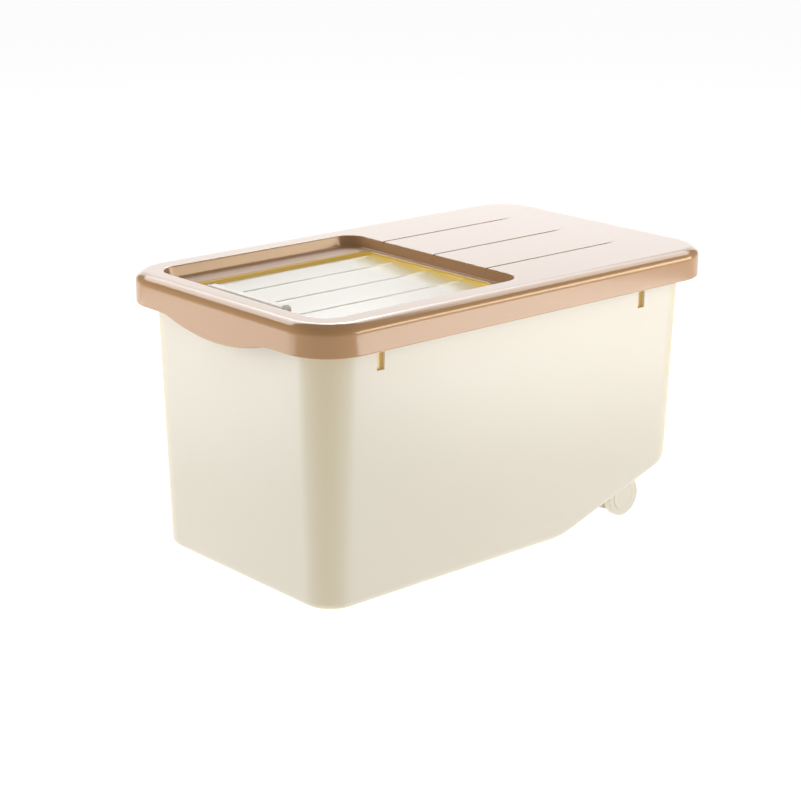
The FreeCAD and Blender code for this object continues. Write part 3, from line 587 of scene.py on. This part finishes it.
def lip_edge(shape, x):
    """How far the pull lip hangs under the skirt at x.

    A wide arc in the middle, whose lowest point is the drop, meets a small arc of the blend radius at each
    end; both touch with one slope, and their radii add up to (half width squared + drop squared) / (2 drop).
    """
    half, drop, blend = shape.lip_width / 2, shape.lip_drop, shape.lip_blend
    both = (half ** 2 + drop ** 2) / (2 * drop)
    wide = both - blend
    away = np.minimum(np.abs(x), half)
    middle = drop - wide + np.sqrt(wide ** 2 - np.minimum(away, wide) ** 2)
    end = blend - np.sqrt(np.maximum(blend ** 2 - (half - away) ** 2, 0.0))
    return np.where(away < wide * half / both, middle, end)


def lid_shells(shape):
    """Closed skin of the lid, as rings on three outlines: door opening, recess and skirt.

    The section runs from the opening's edge over the recess floor, up the recess wall, over the deck, down
    the skirt, and back on the inside at one wall thickness.  Deck grooves have sloped sides and a flat
    bottom: a point sinks by the depth times (1 - distance in half widths) / side share, held within 0 and 1.
    """
    top, half_width, half_length = LID_HIGH.z, LID_HIGH.x, LID_HIGH.y
    skirt_low, deck_low = top - shape.lid_height, top - shape.lid_wall
    floor_top = top - shape.recess_depth
    floor_low = floor_top - shape.recess_floor
    lean_in = shape.recess_depth * math.tan(shape.recess_slope)
    front = shape.recess_front - half_length
    rear = front + shape.recess_length
    grooves = (-shape.groove_spacing, 0.0, shape.groove_spacing)
    sink = np.array(GROOVE_STEPS) * shape.groove_width / 2
    lip_half = shape.lip_width / 2
    across = spots(np.linspace(-lip_half, lip_half, 33), *[middle + sink for middle in grooves])
    along = spots(np.linspace(-LONG_REACH, LONG_REACH, 13))
    skirt = Outline(half_width, -half_length, half_length, shape.lid_corner, across, along)
    recess = Outline(half_width - shape.recess_side, front, rear, shape.recess_corner, across, along)
    opening = Outline(shape.opening_width / 2, rear - shape.opening_ledge - shape.opening_length,
                      rear - shape.opening_ledge, shape.opening_corner, across, along)
    soft, wall = shape.recess_edge, shape.lid_wall

    ledge_under, ledge_over = 0.001, 0.002
    hole = opening.rings(rounded_profile(
        [(ledge_under, floor_low), (0, floor_low), (0, floor_top), (ledge_over, floor_top)],
        (0, FINE_ROUND, shape.opening_edge, 0), steps=7))
    foot_out, brink_out = lean_in + 0.0013, 0.0015
    bowl = recess.rings(rounded_profile(
        [(-foot_out, floor_top), (-lean_in, floor_top), (0, top), (brink_out, top)], (0, soft, soft, 0)))
    flat, step = -0.0085, skirt_low + 0.005
    outside = [(flat, top), (0, top), (0, step), (0, skirt_low), (-wall, skirt_low), (-wall, step),
               (-wall, deck_low), (flat, deck_low)]
    rounds = (0, shape.lid_edge, 0, SKIRT_ROUND, SKIRT_ROUND, 0, shape.lid_edge - wall, 0)
    hang = np.where(skirt.out[:, 1] < -STRAIGHT, lip_edge(shape, skirt.points[:, 0]), 0.0)
    apron = []
    for offset, height in rounded_profile(outside, rounds, steps=8):
        share = np.clip((skirt_low + LIP_TOP - height) / LIP_SPAN, 0, 1)
        apron.append(skirt.ring(offset, height - hang * share))
    deck = blend_rings(bowl[-1], apron[0], DECK_SHARES)
    deck_under, floor_under = wall + 0.002, wall - 0.004
    tray_root, tray_edge = 0.001, 0.0008
    tray = recess.rings(rounded_profile(
        [(deck_under, deck_low), (wall, deck_low), (wall, floor_low), (floor_under, floor_low)],
        (0, tray_root, tray_edge, 0)))
    points, faces = shell(hole + bowl + deck + apron + tray, wrap_rows=True)

    x, y, z = points.T
    away = np.min([np.abs(x - middle) for middle in grooves], axis=0) / (shape.groove_width / 2)
    dip = np.clip((1 - away) / GROOVE_SIDE, 0, 1)
    end = rear + shape.groove_length
    run = np.clip((end - y) / GROOVE_RUNOUT, 0, 1)
    skin, slack = 0.002, 0.0005
    upper = (z > top - skin) & (y > rear - slack)
    points[:, 2] -= np.where(upper, shape.groove_depth * dip * run, 0.0)

    shells = [(points, faces)]
    tip = LID_LOW.z
    tub_outer = half_width - shape.tub_overhang - (TUB_HIGH.z - tip) * math.tan(shape.tub_draft)
    tub_inner = tub_outer - shape.tub_wall / math.cos(shape.tub_draft)
    tongue_middle = tub_inner - shape.tongue_gap - wall / 2
    tongue_halves = (wall / 2, shape.tongue_width / 2)
    for sign in (-1, 1):
        for middle in (-shape.window_front, shape.window_rear):
            shells.append(block((sign * tongue_middle, middle), tongue_halves, tip, deck_low + wall / 2))
        for end, root in ((RAIL_LOW.y, floor_low), (RAIL_HIGH.y, deck_low)):
            for share in (1 / 6, 3 / 6, 5 / 6):
                shells.append(stake(sign * shape.stake_side, rear + (end - rear) * share, floor_low, root))
    return shells


def block(middle, halves, low, high, soft=FINE_ROUND):
    """Upright block: a rounded rectangle from above, with softened lower and upper edges."""
    plan = Outline(halves[0], -halves[1], halves[1], soft, spots(), spots(), steps=4)
    profile = rounded_profile(
        [(-soft, low), (0, low), (0, high), (-soft, high)], (0, soft, soft, 0), steps=3)
    points, faces = shell(plan.rings(profile))
    return points + np.array((*middle, 0.0)), faces


def stake(x, y, foot, root):
    """Heat stake: a boss from its root, a shank through the rail and a flattened head under it."""
    shank, head, boss, bevel = 0.0015, 0.0027, 0.004, 0.0005
    rail, brim_depth, crown_depth = 0.0022, 0.0007, 0.0012
    boss_sink, shank_sink = 0.0012, 0.001
    seat = foot - rail
    brim, crown = seat - brim_depth, seat - crown_depth
    start = [(root + boss_sink, boss), (foot, boss)] if root > foot else [(root + shank_sink, shank)]
    profile = start + [(foot, shank), (seat, shank), (seat, head), (brim, head), (crown, head - bevel),
                       (crown, FINE_ROUND)]
    points, faces = turned(profile, (x, y), steps=20)
    return np.roll(points, -1, axis=1), faces


def underside(shape, y, inset):
    """Height of the tub's underside at y, or of a face inset from it.

    Flat up to the bend, then an arc of the blend radius less the inset, then the ramp's straight rise.
    """
    slope = math.tan(shape.ramp_angle)
    radius = shape.ramp_blend - inset
    bend = shape.ramp_start + inset * (1 - 1 / math.cos(shape.ramp_angle)) / slope
    reach = radius * math.tan(shape.ramp_angle / 2)
    past = np.clip(y - bend + reach, 0, radius * math.sin(shape.ramp_angle))
    arc = inset + radius - np.sqrt(radius ** 2 - past ** 2)
    return np.where(y < bend + reach * math.cos(shape.ramp_angle), arc, inset + (y - bend) * slope)


class TubSkin:
    """One side of the tub's wall, inner or outer, as rings on the tub's outline.

    A point on the wall at height z lies on the base outline moved outward by z tan(draft), less the inset
    over cos(draft).  Under the wall it follows a quarter round and then the underside.
    """

    def __init__(self, shape, plan, inset, well):
        self.shape, self.plan, self.inset = shape, plan, inset
        self.round = shape.tub_round - inset
        self.lean = math.tan(shape.tub_draft)
        self.shift = inset / math.cos(shape.tub_draft)
        self.is_side = np.abs(plan.out[:, 0]) > STRAIGHT
        self.well = well
        low = np.zeros(len(plan.points))
        for _ in range(SETTLE):
            y = plan.points[:, 1] + plan.out[:, 1] * (low * self.lean - self.shift)
            low = underside(shape, y, inset)
        self.low = low

    def raised(self, y, height):
        """Heights at y, lifted on the sides to the top of the wheel's well where they are lower.

        The top of the well is the axle's height plus the circle's half chord at y.
        """
        top = AXLE.z + np.sqrt(np.maximum(self.well ** 2 - (y - AXLE.y) ** 2, 0.0))
        over = self.is_side & (np.abs(y - AXLE.y) < self.well)
        return np.where(over, np.maximum(height, top), height)

    def wall(self, height):
        """Ring on the wall at one height, or at a height for each point."""
        return self.plan.ring(np.asarray(height) * self.lean - self.shift, height)

    def wall_between(self, high, shares, arched):
        """Wall rings from a level height down to the round, by shares of the way."""
        foot = self.low + self.round
        if arched:
            foot = self.raised(self.plan.points[:, 1], foot)
        return [self.wall(high + (foot - high) * share) for share in shares]

    def under(self, inward, in_well):
        """Ring under the wall at a distance inward: on the round, then on the underside."""
        turn = 1 - min(inward / self.round, 1.0)
        rise = self.round * (1 - math.sqrt(1 - turn ** 2))
        ring = self.plan.ring((self.low + rise) * self.lean - self.shift - inward, 0.0)
        height = underside(self.shape, ring[:, 1], self.inset) + rise
        ring[:, 2] = self.raised(ring[:, 1], height) if in_well else height
        return ring

    def spine(self):
        """Ring closed on the middle line, so that both halves of the underside meet."""
        hold = TUB_HIGH.y - SPINE_END
        y = np.clip(self.plan.points[:, 1], -hold, hold)
        return np.column_stack((np.zeros(len(y)), y, underside(self.shape, y, self.inset)))


def tub_shells(shape):
    """Tub as one skin from the middle of its inner base, over the rim, to the middle of its underside."""
    rim_side, rim_end = LID_HIGH.x - shape.tub_overhang, LID_HIGH.y - shape.tub_overhang
    lean = math.tan(shape.tub_draft)
    side, end = rim_side - TUB_HIGH.z * lean, rim_end - TUB_HIGH.z * lean
    well = WHEEL_HIGH.z / 2 + shape.well_gap
    circle = AXLE.y + (well + shape.tub_wall) * np.cos(np.linspace(0, np.pi, 41))
    pool = AXLE.y + well * np.cos(np.linspace(0, np.pi, 31))
    reach = shape.ramp_blend * math.tan(shape.ramp_angle / 2)
    bend = np.linspace(shape.ramp_start - reach, shape.ramp_start + reach, 11)
    jambs = np.array((-1, 1)) * shape.window_width / 2
    windows = [middle + jambs for middle in (-shape.window_front, shape.window_rear)]
    along = spots(np.linspace(-LONG_REACH, LONG_REACH, 11), circle, pool, bend, *windows)
    across = spots(np.linspace(-SHORT_REACH, SHORT_REACH, 7))
    plan = Outline(side, -end, end, shape.tub_corner, across, along)
    outer = TubSkin(shape, plan, 0.0, well)
    inner = TubSkin(shape, plan, shape.tub_wall, well + shape.tub_wall)

    sill, lintel = shape.window_sill, shape.window_sill + shape.window_height
    margin = 0.006
    levels = [sill - margin, sill, (sill + lintel) / 2, lintel, lintel + margin]
    rounds = 1 - np.cos(np.linspace(0, np.pi / 2, 8))
    thick = shape.tub_wall / math.cos(shape.tub_draft)

    wheel_side = side + WELL_LEVEL * lean
    arch_back = wheel_side - thick - (WHEEL_LOW.x - shape.well_gap - shape.tub_wall)
    inside = [inner.spine(), inner.under(BASE_RING, False)]
    inside += [inner.under(arch_back, False), inner.under(arch_back, True)]
    inside += [inner.under(share * inner.round, True) for share in rounds[::-1]]
    inside += inner.wall_between(levels[0], WALL_SHARES, True)
    inner_first = len(inside)
    inside += [inner.wall(level) for level in levels]

    rim = TUB_HIGH.z
    at_rim = rim * lean
    flange = TUB_HIGH.x - rim_side
    below = rim - shape.rim_depth
    neck = 0.2
    inner_edge, flange_edge, flange_root = 0.0006, 0.0007, 0.0008
    lip = plan.rings(rounded_profile([
        (neck * lean - thick, neck), (at_rim - thick, rim), (at_rim + flange, rim), (at_rim + flange, below),
        (below * lean, below), (neck * lean, neck)],
        (0, inner_edge, flange_edge, flange_edge, flange_root, 0), steps=4))

    outer_first = len(inside) + len(lip)
    outside = [outer.wall(level) for level in levels[::-1]]
    outside += outer.wall_between(levels[0], WALL_SHARES[::-1], False)
    well_face = wheel_side - (WHEEL_HIGH.x + shape.well_gap)
    well_back = wheel_side - (WHEEL_LOW.x - shape.well_gap)
    steps = rounds * outer.round
    outside += [outer.under(step, False) for step in steps[steps < well_face]]
    outside += [outer.under(well_face, False), outer.under(well_face, True)]
    outside += [outer.under(step, True) for step in steps[steps > well_face]]
    outside += [outer.under(well_back, True), outer.under(well_back, False)]
    outside += [outer.under(BASE_RING, False), outer.spine()]

    rings = inside + lip + outside
    columns = len(plan.points)
    faces = grid_faces(len(rings), columns)
    keep = np.ones(faces.shape[:2], bool)
    reveals = []
    for sign in (-1, 1):
        for start, stop in windows:
            y = plan.points[:, 1]
            on_side = plan.out[:, 0] * sign > STRAIGHT
            found = np.flatnonzero(on_side & (y > start - MERGE / 2) & (y < stop + MERGE / 2))
            for first in (inner_first + 1, outer_first + 1):
                keep[first:first + 2, found[:-1]] = False
            within = window_loop(found, inner_first + 3, columns, -1)
            without = window_loop(found, outer_first + 1, columns)
            reveals.append(np.stack((within, np.roll(within, -1), np.roll(without, -1), without), axis=-1))
    skin = np.concatenate([faces[keep]] + reveals)
    shells = [(np.concatenate(rings), skin)]
    shells += [bracket(shape, sign) for sign in (-1, 1)]
    return shells


def window_loop(columns, row, ring_length, step=1):
    """Point numbers round a window that is two rows high, from its corner at row, going along it first."""
    rows = row + step * np.arange(3)
    loop = [(rows[0], column) for column in columns[:-1]]
    loop += [(rows[0], columns[-1]), (rows[1], columns[-1])]
    loop += [(rows[2], column) for column in columns[:0:-1]]
    loop += [(rows[2], columns[0]), (rows[1], columns[0])]
    return np.array([number * ring_length + column for number, column in loop])


def bracket(shape, sign):
    """Axle bracket: a teardrop of an arc round the axle and tangent lines to two roots, with a hole."""
    soft = 0.0005
    roots = []
    for y in (AXLE.y - shape.bracket_front, AXLE.y + shape.bracket_rear):
        roots.append(np.array((y, float(underside(shape, np.array(y), 0.0)) + shape.tub_wall / 2)))
    centre = np.array((AXLE.y, AXLE.z))
    angles = []
    for root, side in zip(roots, (1, -1)):
        toward = root - centre
        spread = math.acos(min(1.0, shape.bracket_radius / np.linalg.norm(toward)))
        angles.append(math.atan2(toward[1], toward[0]) % (2 * math.pi) + side * spread)
    turn = np.linspace(angles[0], angles[1] + (2 * math.pi if angles[1] < angles[0] else 0), 40)
    arc = centre + shape.bracket_radius * np.column_stack((np.cos(turn), np.sin(turn)))
    share = np.linspace(0, 1, 12)[:, None]
    contour = np.concatenate((arc, roots[1] + (roots[0] - roots[1]) * share))
    toward = contour - centre
    reach = np.linalg.norm(toward, axis=1)[:, None]
    hole = centre + toward / reach * shape.axle_hole
    inner = contour - toward / reach * soft
    face = WHEEL_LOW.x - shape.bracket_gap
    back = face - shape.bracket_width
    rings = [(back + soft, contour), (face - soft, contour), (face, inner), (face, hole), (back, hole),
             (back, inner)]
    return shell([np.column_stack((np.full(len(ring), sign * x), ring)) for x, ring in rings], wrap_rows=True)


def door_shells(shape):
    """Door: its planked section drawn from front to rear, a wall across each end and a rounded grip bar."""
    field, plank, wall = shape.field_width / 2, shape.plank_width, shape.door_wall
    runner_low, runner_high, runner_side = DOOR_LOW.z, DOOR_LOW.z + wall, DOOR_HIGH.x
    high = LID_HIGH.z - shape.recess_depth - shape.recess_floor - shape.door_headroom
    foot = high - shape.ridge_height
    plate_low = foot - shape.plank_fall - wall
    fall = shape.plank_fall / (plank - shape.ridge_width)
    lines = (-field, -plank, 0.0, plank, field)
    crisp, firm, soft = 0.0003, 0.0005, 0.0006
    corners, radii = [], []
    for left, right in zip(lines, lines[1:]):
        start = left + shape.ridge_width
        corners += [(left, high), (start, foot), (right, foot - (right - start) * fall)]
        radii += [crisp, soft, crisp]
    radii[-1] = soft
    right_side = [(field, runner_high), (runner_side, runner_high), (runner_side, runner_low),
                  (field - wall, runner_low), (field - wall, plate_low)]
    side_radii = [firm, soft, soft, FINE_ROUND, firm]
    corners += right_side + [(-x, z) for x, z in right_side[::-1]]
    radii += side_radii + side_radii[::-1]
    section = rounded_profile(corners, radii, steps=4, closed=True)
    ends = (DOOR_LOW.y, DOOR_HIGH.y)
    between = np.linspace(ends[0] + FINE_ROUND, ends[1] - FINE_ROUND, 12)
    places = np.concatenate(((ends[0],), between, (ends[1],)))
    front = ends[0] + shape.grip_setback
    grip_corner, grip_reach, grip_sink, crest = 0.0012, 0.04, 0.0005, 0.0002
    plan = Outline(shape.grip_width / 2, front, front + shape.grip_depth, grip_corner,
                   np.linspace(-grip_reach, grip_reach, 9), spots(), steps=5)
    grip = plan.rings(rounded_profile(
        [(0, plate_low + grip_sink), (0, DOOR_HIGH.z), (crest - shape.grip_depth / 2, DOOR_HIGH.z)],
        (0, shape.grip_round, 0), steps=8))
    walls = [block((0.0, y), (shape.end_wall_side, wall / 2), runner_low, high)
             for y in (ends[0] + wall / 2, ends[1] - wall / 2)]
    return [swept(section, places, FINE_ROUND), shell(grip)] + walls


def wheel_shells(sign):
    """Wheel: tread with softened edges, and a seat for the hub cap in its outer face."""
    face, width, radius = WHEEL_HIGH.x, WHEEL_HIGH.x - WHEEL_LOW.x, WHEEL_HIGH.z / 2
    seat, cap = CAP_LOW.x, (CAP_HIGH.z - CAP_LOW.z) / 2 + CAP_PLAY
    back, bevel, soft, crisp = face - width, 0.001, 0.0009, 0.0003
    corners = [(back, WHEEL_BORE), (back, radius - bevel), (back + bevel, radius), (face - bevel, radius),
               (face, radius - bevel), (face, cap), (seat, cap), (seat, WHEEL_BORE)]
    profile = rounded_profile(corners, (0, soft, soft, soft, soft, crisp, 0, 0), steps=4, closed=True)
    spin_rings = profile * np.array((sign, 1.0))
    return [turned(np.vstack((spin_rings, spin_rings[:1])))]


def cap_shells(sign):
    """Hub cap: a disc with a softened rim, very slightly dished towards its middle."""
    radius = (CAP_HIGH.z - CAP_LOW.z) / 2
    low, high = CAP_LOW.x, CAP_HIGH.x
    dish_depth, bevel_depth, bevel_width = 0.0002, 0.0003, 0.0005
    rim_width, dish_start = 0.0022, 0.0030
    crisp, soft = 0.0002, 0.0003
    dish = high - dish_depth
    corners = [(low, 0), (low, radius), (high - bevel_depth, radius), (high, radius - bevel_width),
               (high, radius - rim_width), (dish, radius - dish_start), (dish, 0)]
    profile = rounded_profile(corners, (0, 0, crisp, soft, soft, soft, 0), steps=3)
    return [turned(profile * np.array((sign, 1.0)))]


class RICEBOX_OT_build_tub(bpy.types.Operator):
    """Build the tub with its rim, snap windows, wheel wells and axle brackets"""

    bl_idname = "rice_box.build_tub"
    bl_label = "Build tub"

    def execute(self, context):
        finish = context.scene.rice_box_finish
        shape = context.scene.rice_box_shape
        lean = TUB_HIGH.z * math.tan(shape.tub_draft)
        middle = [edge - shape.tub_overhang - lean - shape.tub_corner for edge in LID_HIGH[:2]]
        # Painted shade round the tub's upright corners, in the darker, warmer cream.
        corner = (finish.cream_corner_shade, shape.tub_corner + lean / 2, middle)
        glow = (finish.hollow, lit_hollow(shape, middle))
        cream = moulded_plastic("tub_cream", finish.cream, finish.cream_deep, finish.cream_rough, grain=0.5,
                                corner=corner, glow=glow)
        make_piece("tub_shell", tub_shells(shape), "tub", cream, ["tub"])
        return {"FINISHED"}


class RICEBOX_OT_build_lid(bpy.types.Operator):
    """Build the lid with its recess, deck grooves, pull lip, snap tongues and rail stakes"""

    bl_idname = "rice_box.build_lid"
    bl_label = "Build lid"

    def execute(self, context):
        finish = context.scene.rice_box_finish
        shape = context.scene.rice_box_shape
        slack = 0.0004
        reach = LID_HIGH - Vector((shape.tub_overhang, shape.tub_overhang, shape.recess_depth + slack))
        glow = (finish.amber, lit_box((-reach.x, -reach.y, 0.0), reach))
        front, floor_top = shape.recess_front - LID_HIGH.y, LID_HIGH.z - shape.recess_depth
        low = Vector((shape.recess_side - LID_HIGH.x, front, floor_top - slack))
        high = Vector((-low.x, front + shape.recess_length, floor_top + slack))
        tan = moulded_plastic("lid_tan", finish.tan, finish.tan_deep, finish.tan_rough, grain=0.06, coat=0.15,
                              glow=glow, satin=(finish.ledge_rough, low, high))
        make_piece("lid_cover", lid_shells(shape), "lid", tan, ["lid_frame"])
        return {"FINISHED"}


class RICEBOX_OT_build_door(bpy.types.Operator):
    """Build the sliding door with its planks, runners and grip bar"""

    bl_idname = "rice_box.build_door"
    bl_label = "Build door"

    def execute(self, context):
        finish = context.scene.rice_box_finish
        shape = context.scene.rice_box_shape
        lit = Vector((DOOR_LOW.x, DOOR_HIGH.y - shape.rear_tuck - finish.amber_fade, 0.0))
        glow = (finish.amber, lit_box(lit, DOOR_HIGH, finish.amber_fade))
        cream = moulded_plastic("door_cream", finish.cream, finish.cream_deep, rough=0.2, grain=0.1,
                                glow=glow)
        make_piece("planked_door", door_shells(shape), "door", cream, ["sliding_door"])
        return {"FINISHED"}


class RICEBOX_OT_build_wheels(bpy.types.Operator):
    """Build both wheels and their hub caps"""

    bl_idname = "rice_box.build_wheels"
    bl_label = "Build wheels"

    def execute(self, context):
        finish = context.scene.rice_box_finish
        tread = moulded_plastic("wheel_cream", finish.cream, finish.cream_deep, rough=0.42, grain=0.6)
        face = moulded_plastic("cap_cream", finish.cream, finish.cream_deep, rough=0.3, grain=0.3)
        for name, sign in (("left", -1), ("right", 1)):
            wheel, cap = wheel_shells(sign), cap_shells(sign)
            make_piece("rolling_wheel_" + name, wheel, "wheelset", tread, ["wheel_" + name])
            make_piece("hub_disc_" + name, cap, "wheelset", face, ["wheel_cap_" + name])
        return {"FINISHED"}


class RICEBOX_OT_finish_rails(bpy.types.Operator):
    """Give the door rails and the axle their finishes"""

    bl_idname = "rice_box.finish_rails"
    bl_label = "Finish rails and axle"

    def execute(self, context):
        finish = context.scene.rice_box_finish
        glow = (finish.amber, lit_box(-RAIL_HIGH, RAIL_HIGH))
        satin = moulded_plastic("rail_tan", finish.tan_deep, finish.tan, rough=0.34, grain=0.4, glow=glow)
        steel = drawn_steel("axle_steel", tuple(finish.steel))
        for node, material in (("door_rail_left", satin), ("door_rail_right", satin), ("axle", steel)):
            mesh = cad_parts[node].data
            mesh.materials.clear()
            mesh.materials.append(material)
        return {"FINISHED"}


def soft_box(name, place, target, size, power, diffuse=True, glossy=True):
    """Rectangular lamp that faces a target; it can be kept out of the matt shading or out of the gloss."""
    light = bpy.data.lights.new(name, "AREA")
    light.shape = "RECTANGLE"
    light.size, light.size_y = size
    light.energy = power
    lamp = bpy.data.objects.new(name, light)
    lamp.location = place
    lamp.rotation_euler = (Vector(target) - Vector(place)).to_track_quat("-Z", "Y").to_euler()
    lamp.visible_diffuse, lamp.visible_glossy = diffuse, glossy
    bpy.context.scene.collection.objects.link(lamp)
    return lamp


def camera_matrix(stage):
    """Camera's place: back from the origin by the distance, shifted along its right and up, then lifted."""
    around, over = stage.azimuth, stage.elevation
    back = Vector((math.sin(around) * math.cos(over), -math.cos(around) * math.cos(over), math.sin(over)))
    level = Vector((math.cos(around), math.sin(around), 0.0))
    upright = back.cross(level)
    right = level * math.cos(stage.roll) + upright * math.sin(stage.roll)
    up = upright * math.cos(stage.roll) - level * math.sin(stage.roll)
    place = back * stage.distance + right * stage.aim[0] + up * stage.aim[1] + Vector((0.0, 0.0, stage.lift))
    turn = Matrix((right, up, back)).transposed()
    return Matrix.Translation(place) @ turn.to_4x4()


class RICEBOX_OT_build_stage(bpy.types.Operator):
    """Build the pale floor, the studio lights and the camera"""

    bl_idname = "rice_box.build_stage"
    bl_label = "Build studio"

    def execute(self, context):
        scene, stage = context.scene, context.scene.rice_box_stage
        recipe = Recipe("studio_floor")
        cloud = recipe.noise(recipe.place(), scale=1.5)
        light, dull = (0.55, 0.55, 0.55, 1.0), (0.53, 0.53, 0.53, 1.0)
        paper = recipe.finish({
            "Base Color": recipe.mix(cloud, light, dull),
            "Roughness": 0.9 + cloud * 0.05,
            "Emission Color": WHITE,
            "Emission Strength": stage.floor_glow,
        })
        reach, drop = 40.0, 0.0004
        spread = np.linspace(-reach, reach, 3)
        x, y = np.meshgrid(spread, spread)
        points = np.column_stack((x.ravel(), y.ravel(), np.full(x.size, -drop)))
        mesh = bpy.data.meshes.new("floor")
        mesh.from_pydata(points, [], grid_faces(3, 3, wrap_columns=False).reshape(-1, 4))
        mesh.materials.append(paper)
        floor = bpy.data.objects.new("floor", mesh)
        scene.collection.objects.link(floor)

        world = bpy.data.worlds.new("studio")
        world.use_nodes = True
        sky = world.node_tree.nodes["Background"]
        sky.inputs["Color"].default_value = WHITE
        sky.inputs["Strength"].default_value = stage.sky
        scene.world = world
        lid, tub = (0.0, 0.0, 0.2), (0.0, 0.0, 0.1)
        soft_box("back_panel", (-1.25, 1.10, 0.70), lid, (2.4, 1.1), stage.back_power, diffuse=False)
        soft_box("left_box", (-1.28, -0.96, 0.55), tub, (1.0, 1.0), stage.left_power, glossy=False)
        soft_box("right_box", (1.0, 1.25, 0.55), tub, (1.0, 1.0), stage.right_power, glossy=False)
        for name, place in (("rear_strip", (-0.3, 1.25, 1.4)), ("left_strip", (-1.4, 0.2, 1.4))):
            soft_box(name, place, lid, (2.2, 0.7), stage.rim_power, diffuse=False)
        low = (("right_low", 0.62, 0.45, stage.low_right), ("left_low", -0.5, -0.63, stage.low_left))
        for name, x, y, power in low:
            soft_box(name, (x, y, 0.002), (x, y, 1.0), (0.6, 0.6), power, diffuse=False)
        warm = soft_box("warm_strip", (1.15, 0.96, 0.42), lid, (1.4, 0.36), stage.warm_power, diffuse=False)
        warm.data.color = stage.warm_tint
        soft_box("top_box", (0.0, 0.0, 1.7), (0.0, 0.0, 0.0), (1.4, 1.4), stage.top_power)

        lens = bpy.data.cameras.new("studio_camera")
        lens.sensor_width, lens.lens = 36.0, stage.lens
        camera = bpy.data.objects.new("studio_camera", lens)
        camera.matrix_world = camera_matrix(stage)
        scene.collection.objects.link(camera)
        scene.camera = camera
        scene.view_settings.view_transform = "Standard"
        return {"FINISHED"}


class RICEBOX_PT_panel(bpy.types.Panel):
    """Sizes, finishes and studio of the rice storage box"""

    bl_idname = "RICEBOX_PT_panel"
    bl_label = "Rice storage box"
    bl_space_type = "VIEW_3D"
    bl_region_type = "UI"
    bl_category = "Rice box"

    def draw(self, context):
        for operator in OPERATORS:
            self.layout.operator(operator.bl_idname)
        for name in GROUPS:
            group = getattr(context.scene, name)
            column = self.layout.column(align=True)
            for key in group.__annotations__:
                column.prop(group, key)


OPERATORS = (RICEBOX_OT_build_tub, RICEBOX_OT_build_lid, RICEBOX_OT_build_door, RICEBOX_OT_build_wheels,
             RICEBOX_OT_finish_rails, RICEBOX_OT_build_stage)
GROUPS = {"rice_box_shape": RiceBoxShape, "rice_box_finish": RiceBoxFinish, "rice_box_stage": RiceBoxStage}


def register():
    """Make the groups, operators and panel known, and hang the groups on the scene."""
    for kind in (*GROUPS.values(), *OPERATORS, RICEBOX_PT_panel):
        bpy.utils.register_class(kind)
    for name, kind in GROUPS.items():
        setattr(bpy.types.Scene, name, PointerProperty(type=kind))


def unregister():
    """Undo what register does, in the opposite order."""
    for name in GROUPS:
        delattr(bpy.types.Scene, name)
    for kind in (RICEBOX_PT_panel, *reversed(OPERATORS), *reversed(GROUPS.values())):
        bpy.utils.unregister_class(kind)


def main():
    """Build every piece and the studio."""
    register()
    bpy.ops.rice_box.build_tub()
    bpy.ops.rice_box.build_lid()
    bpy.ops.rice_box.build_door()
    bpy.ops.rice_box.build_wheels()
    bpy.ops.rice_box.finish_rails()
    bpy.ops.rice_box.build_stage()


if __name__ == "__main__":
    main()
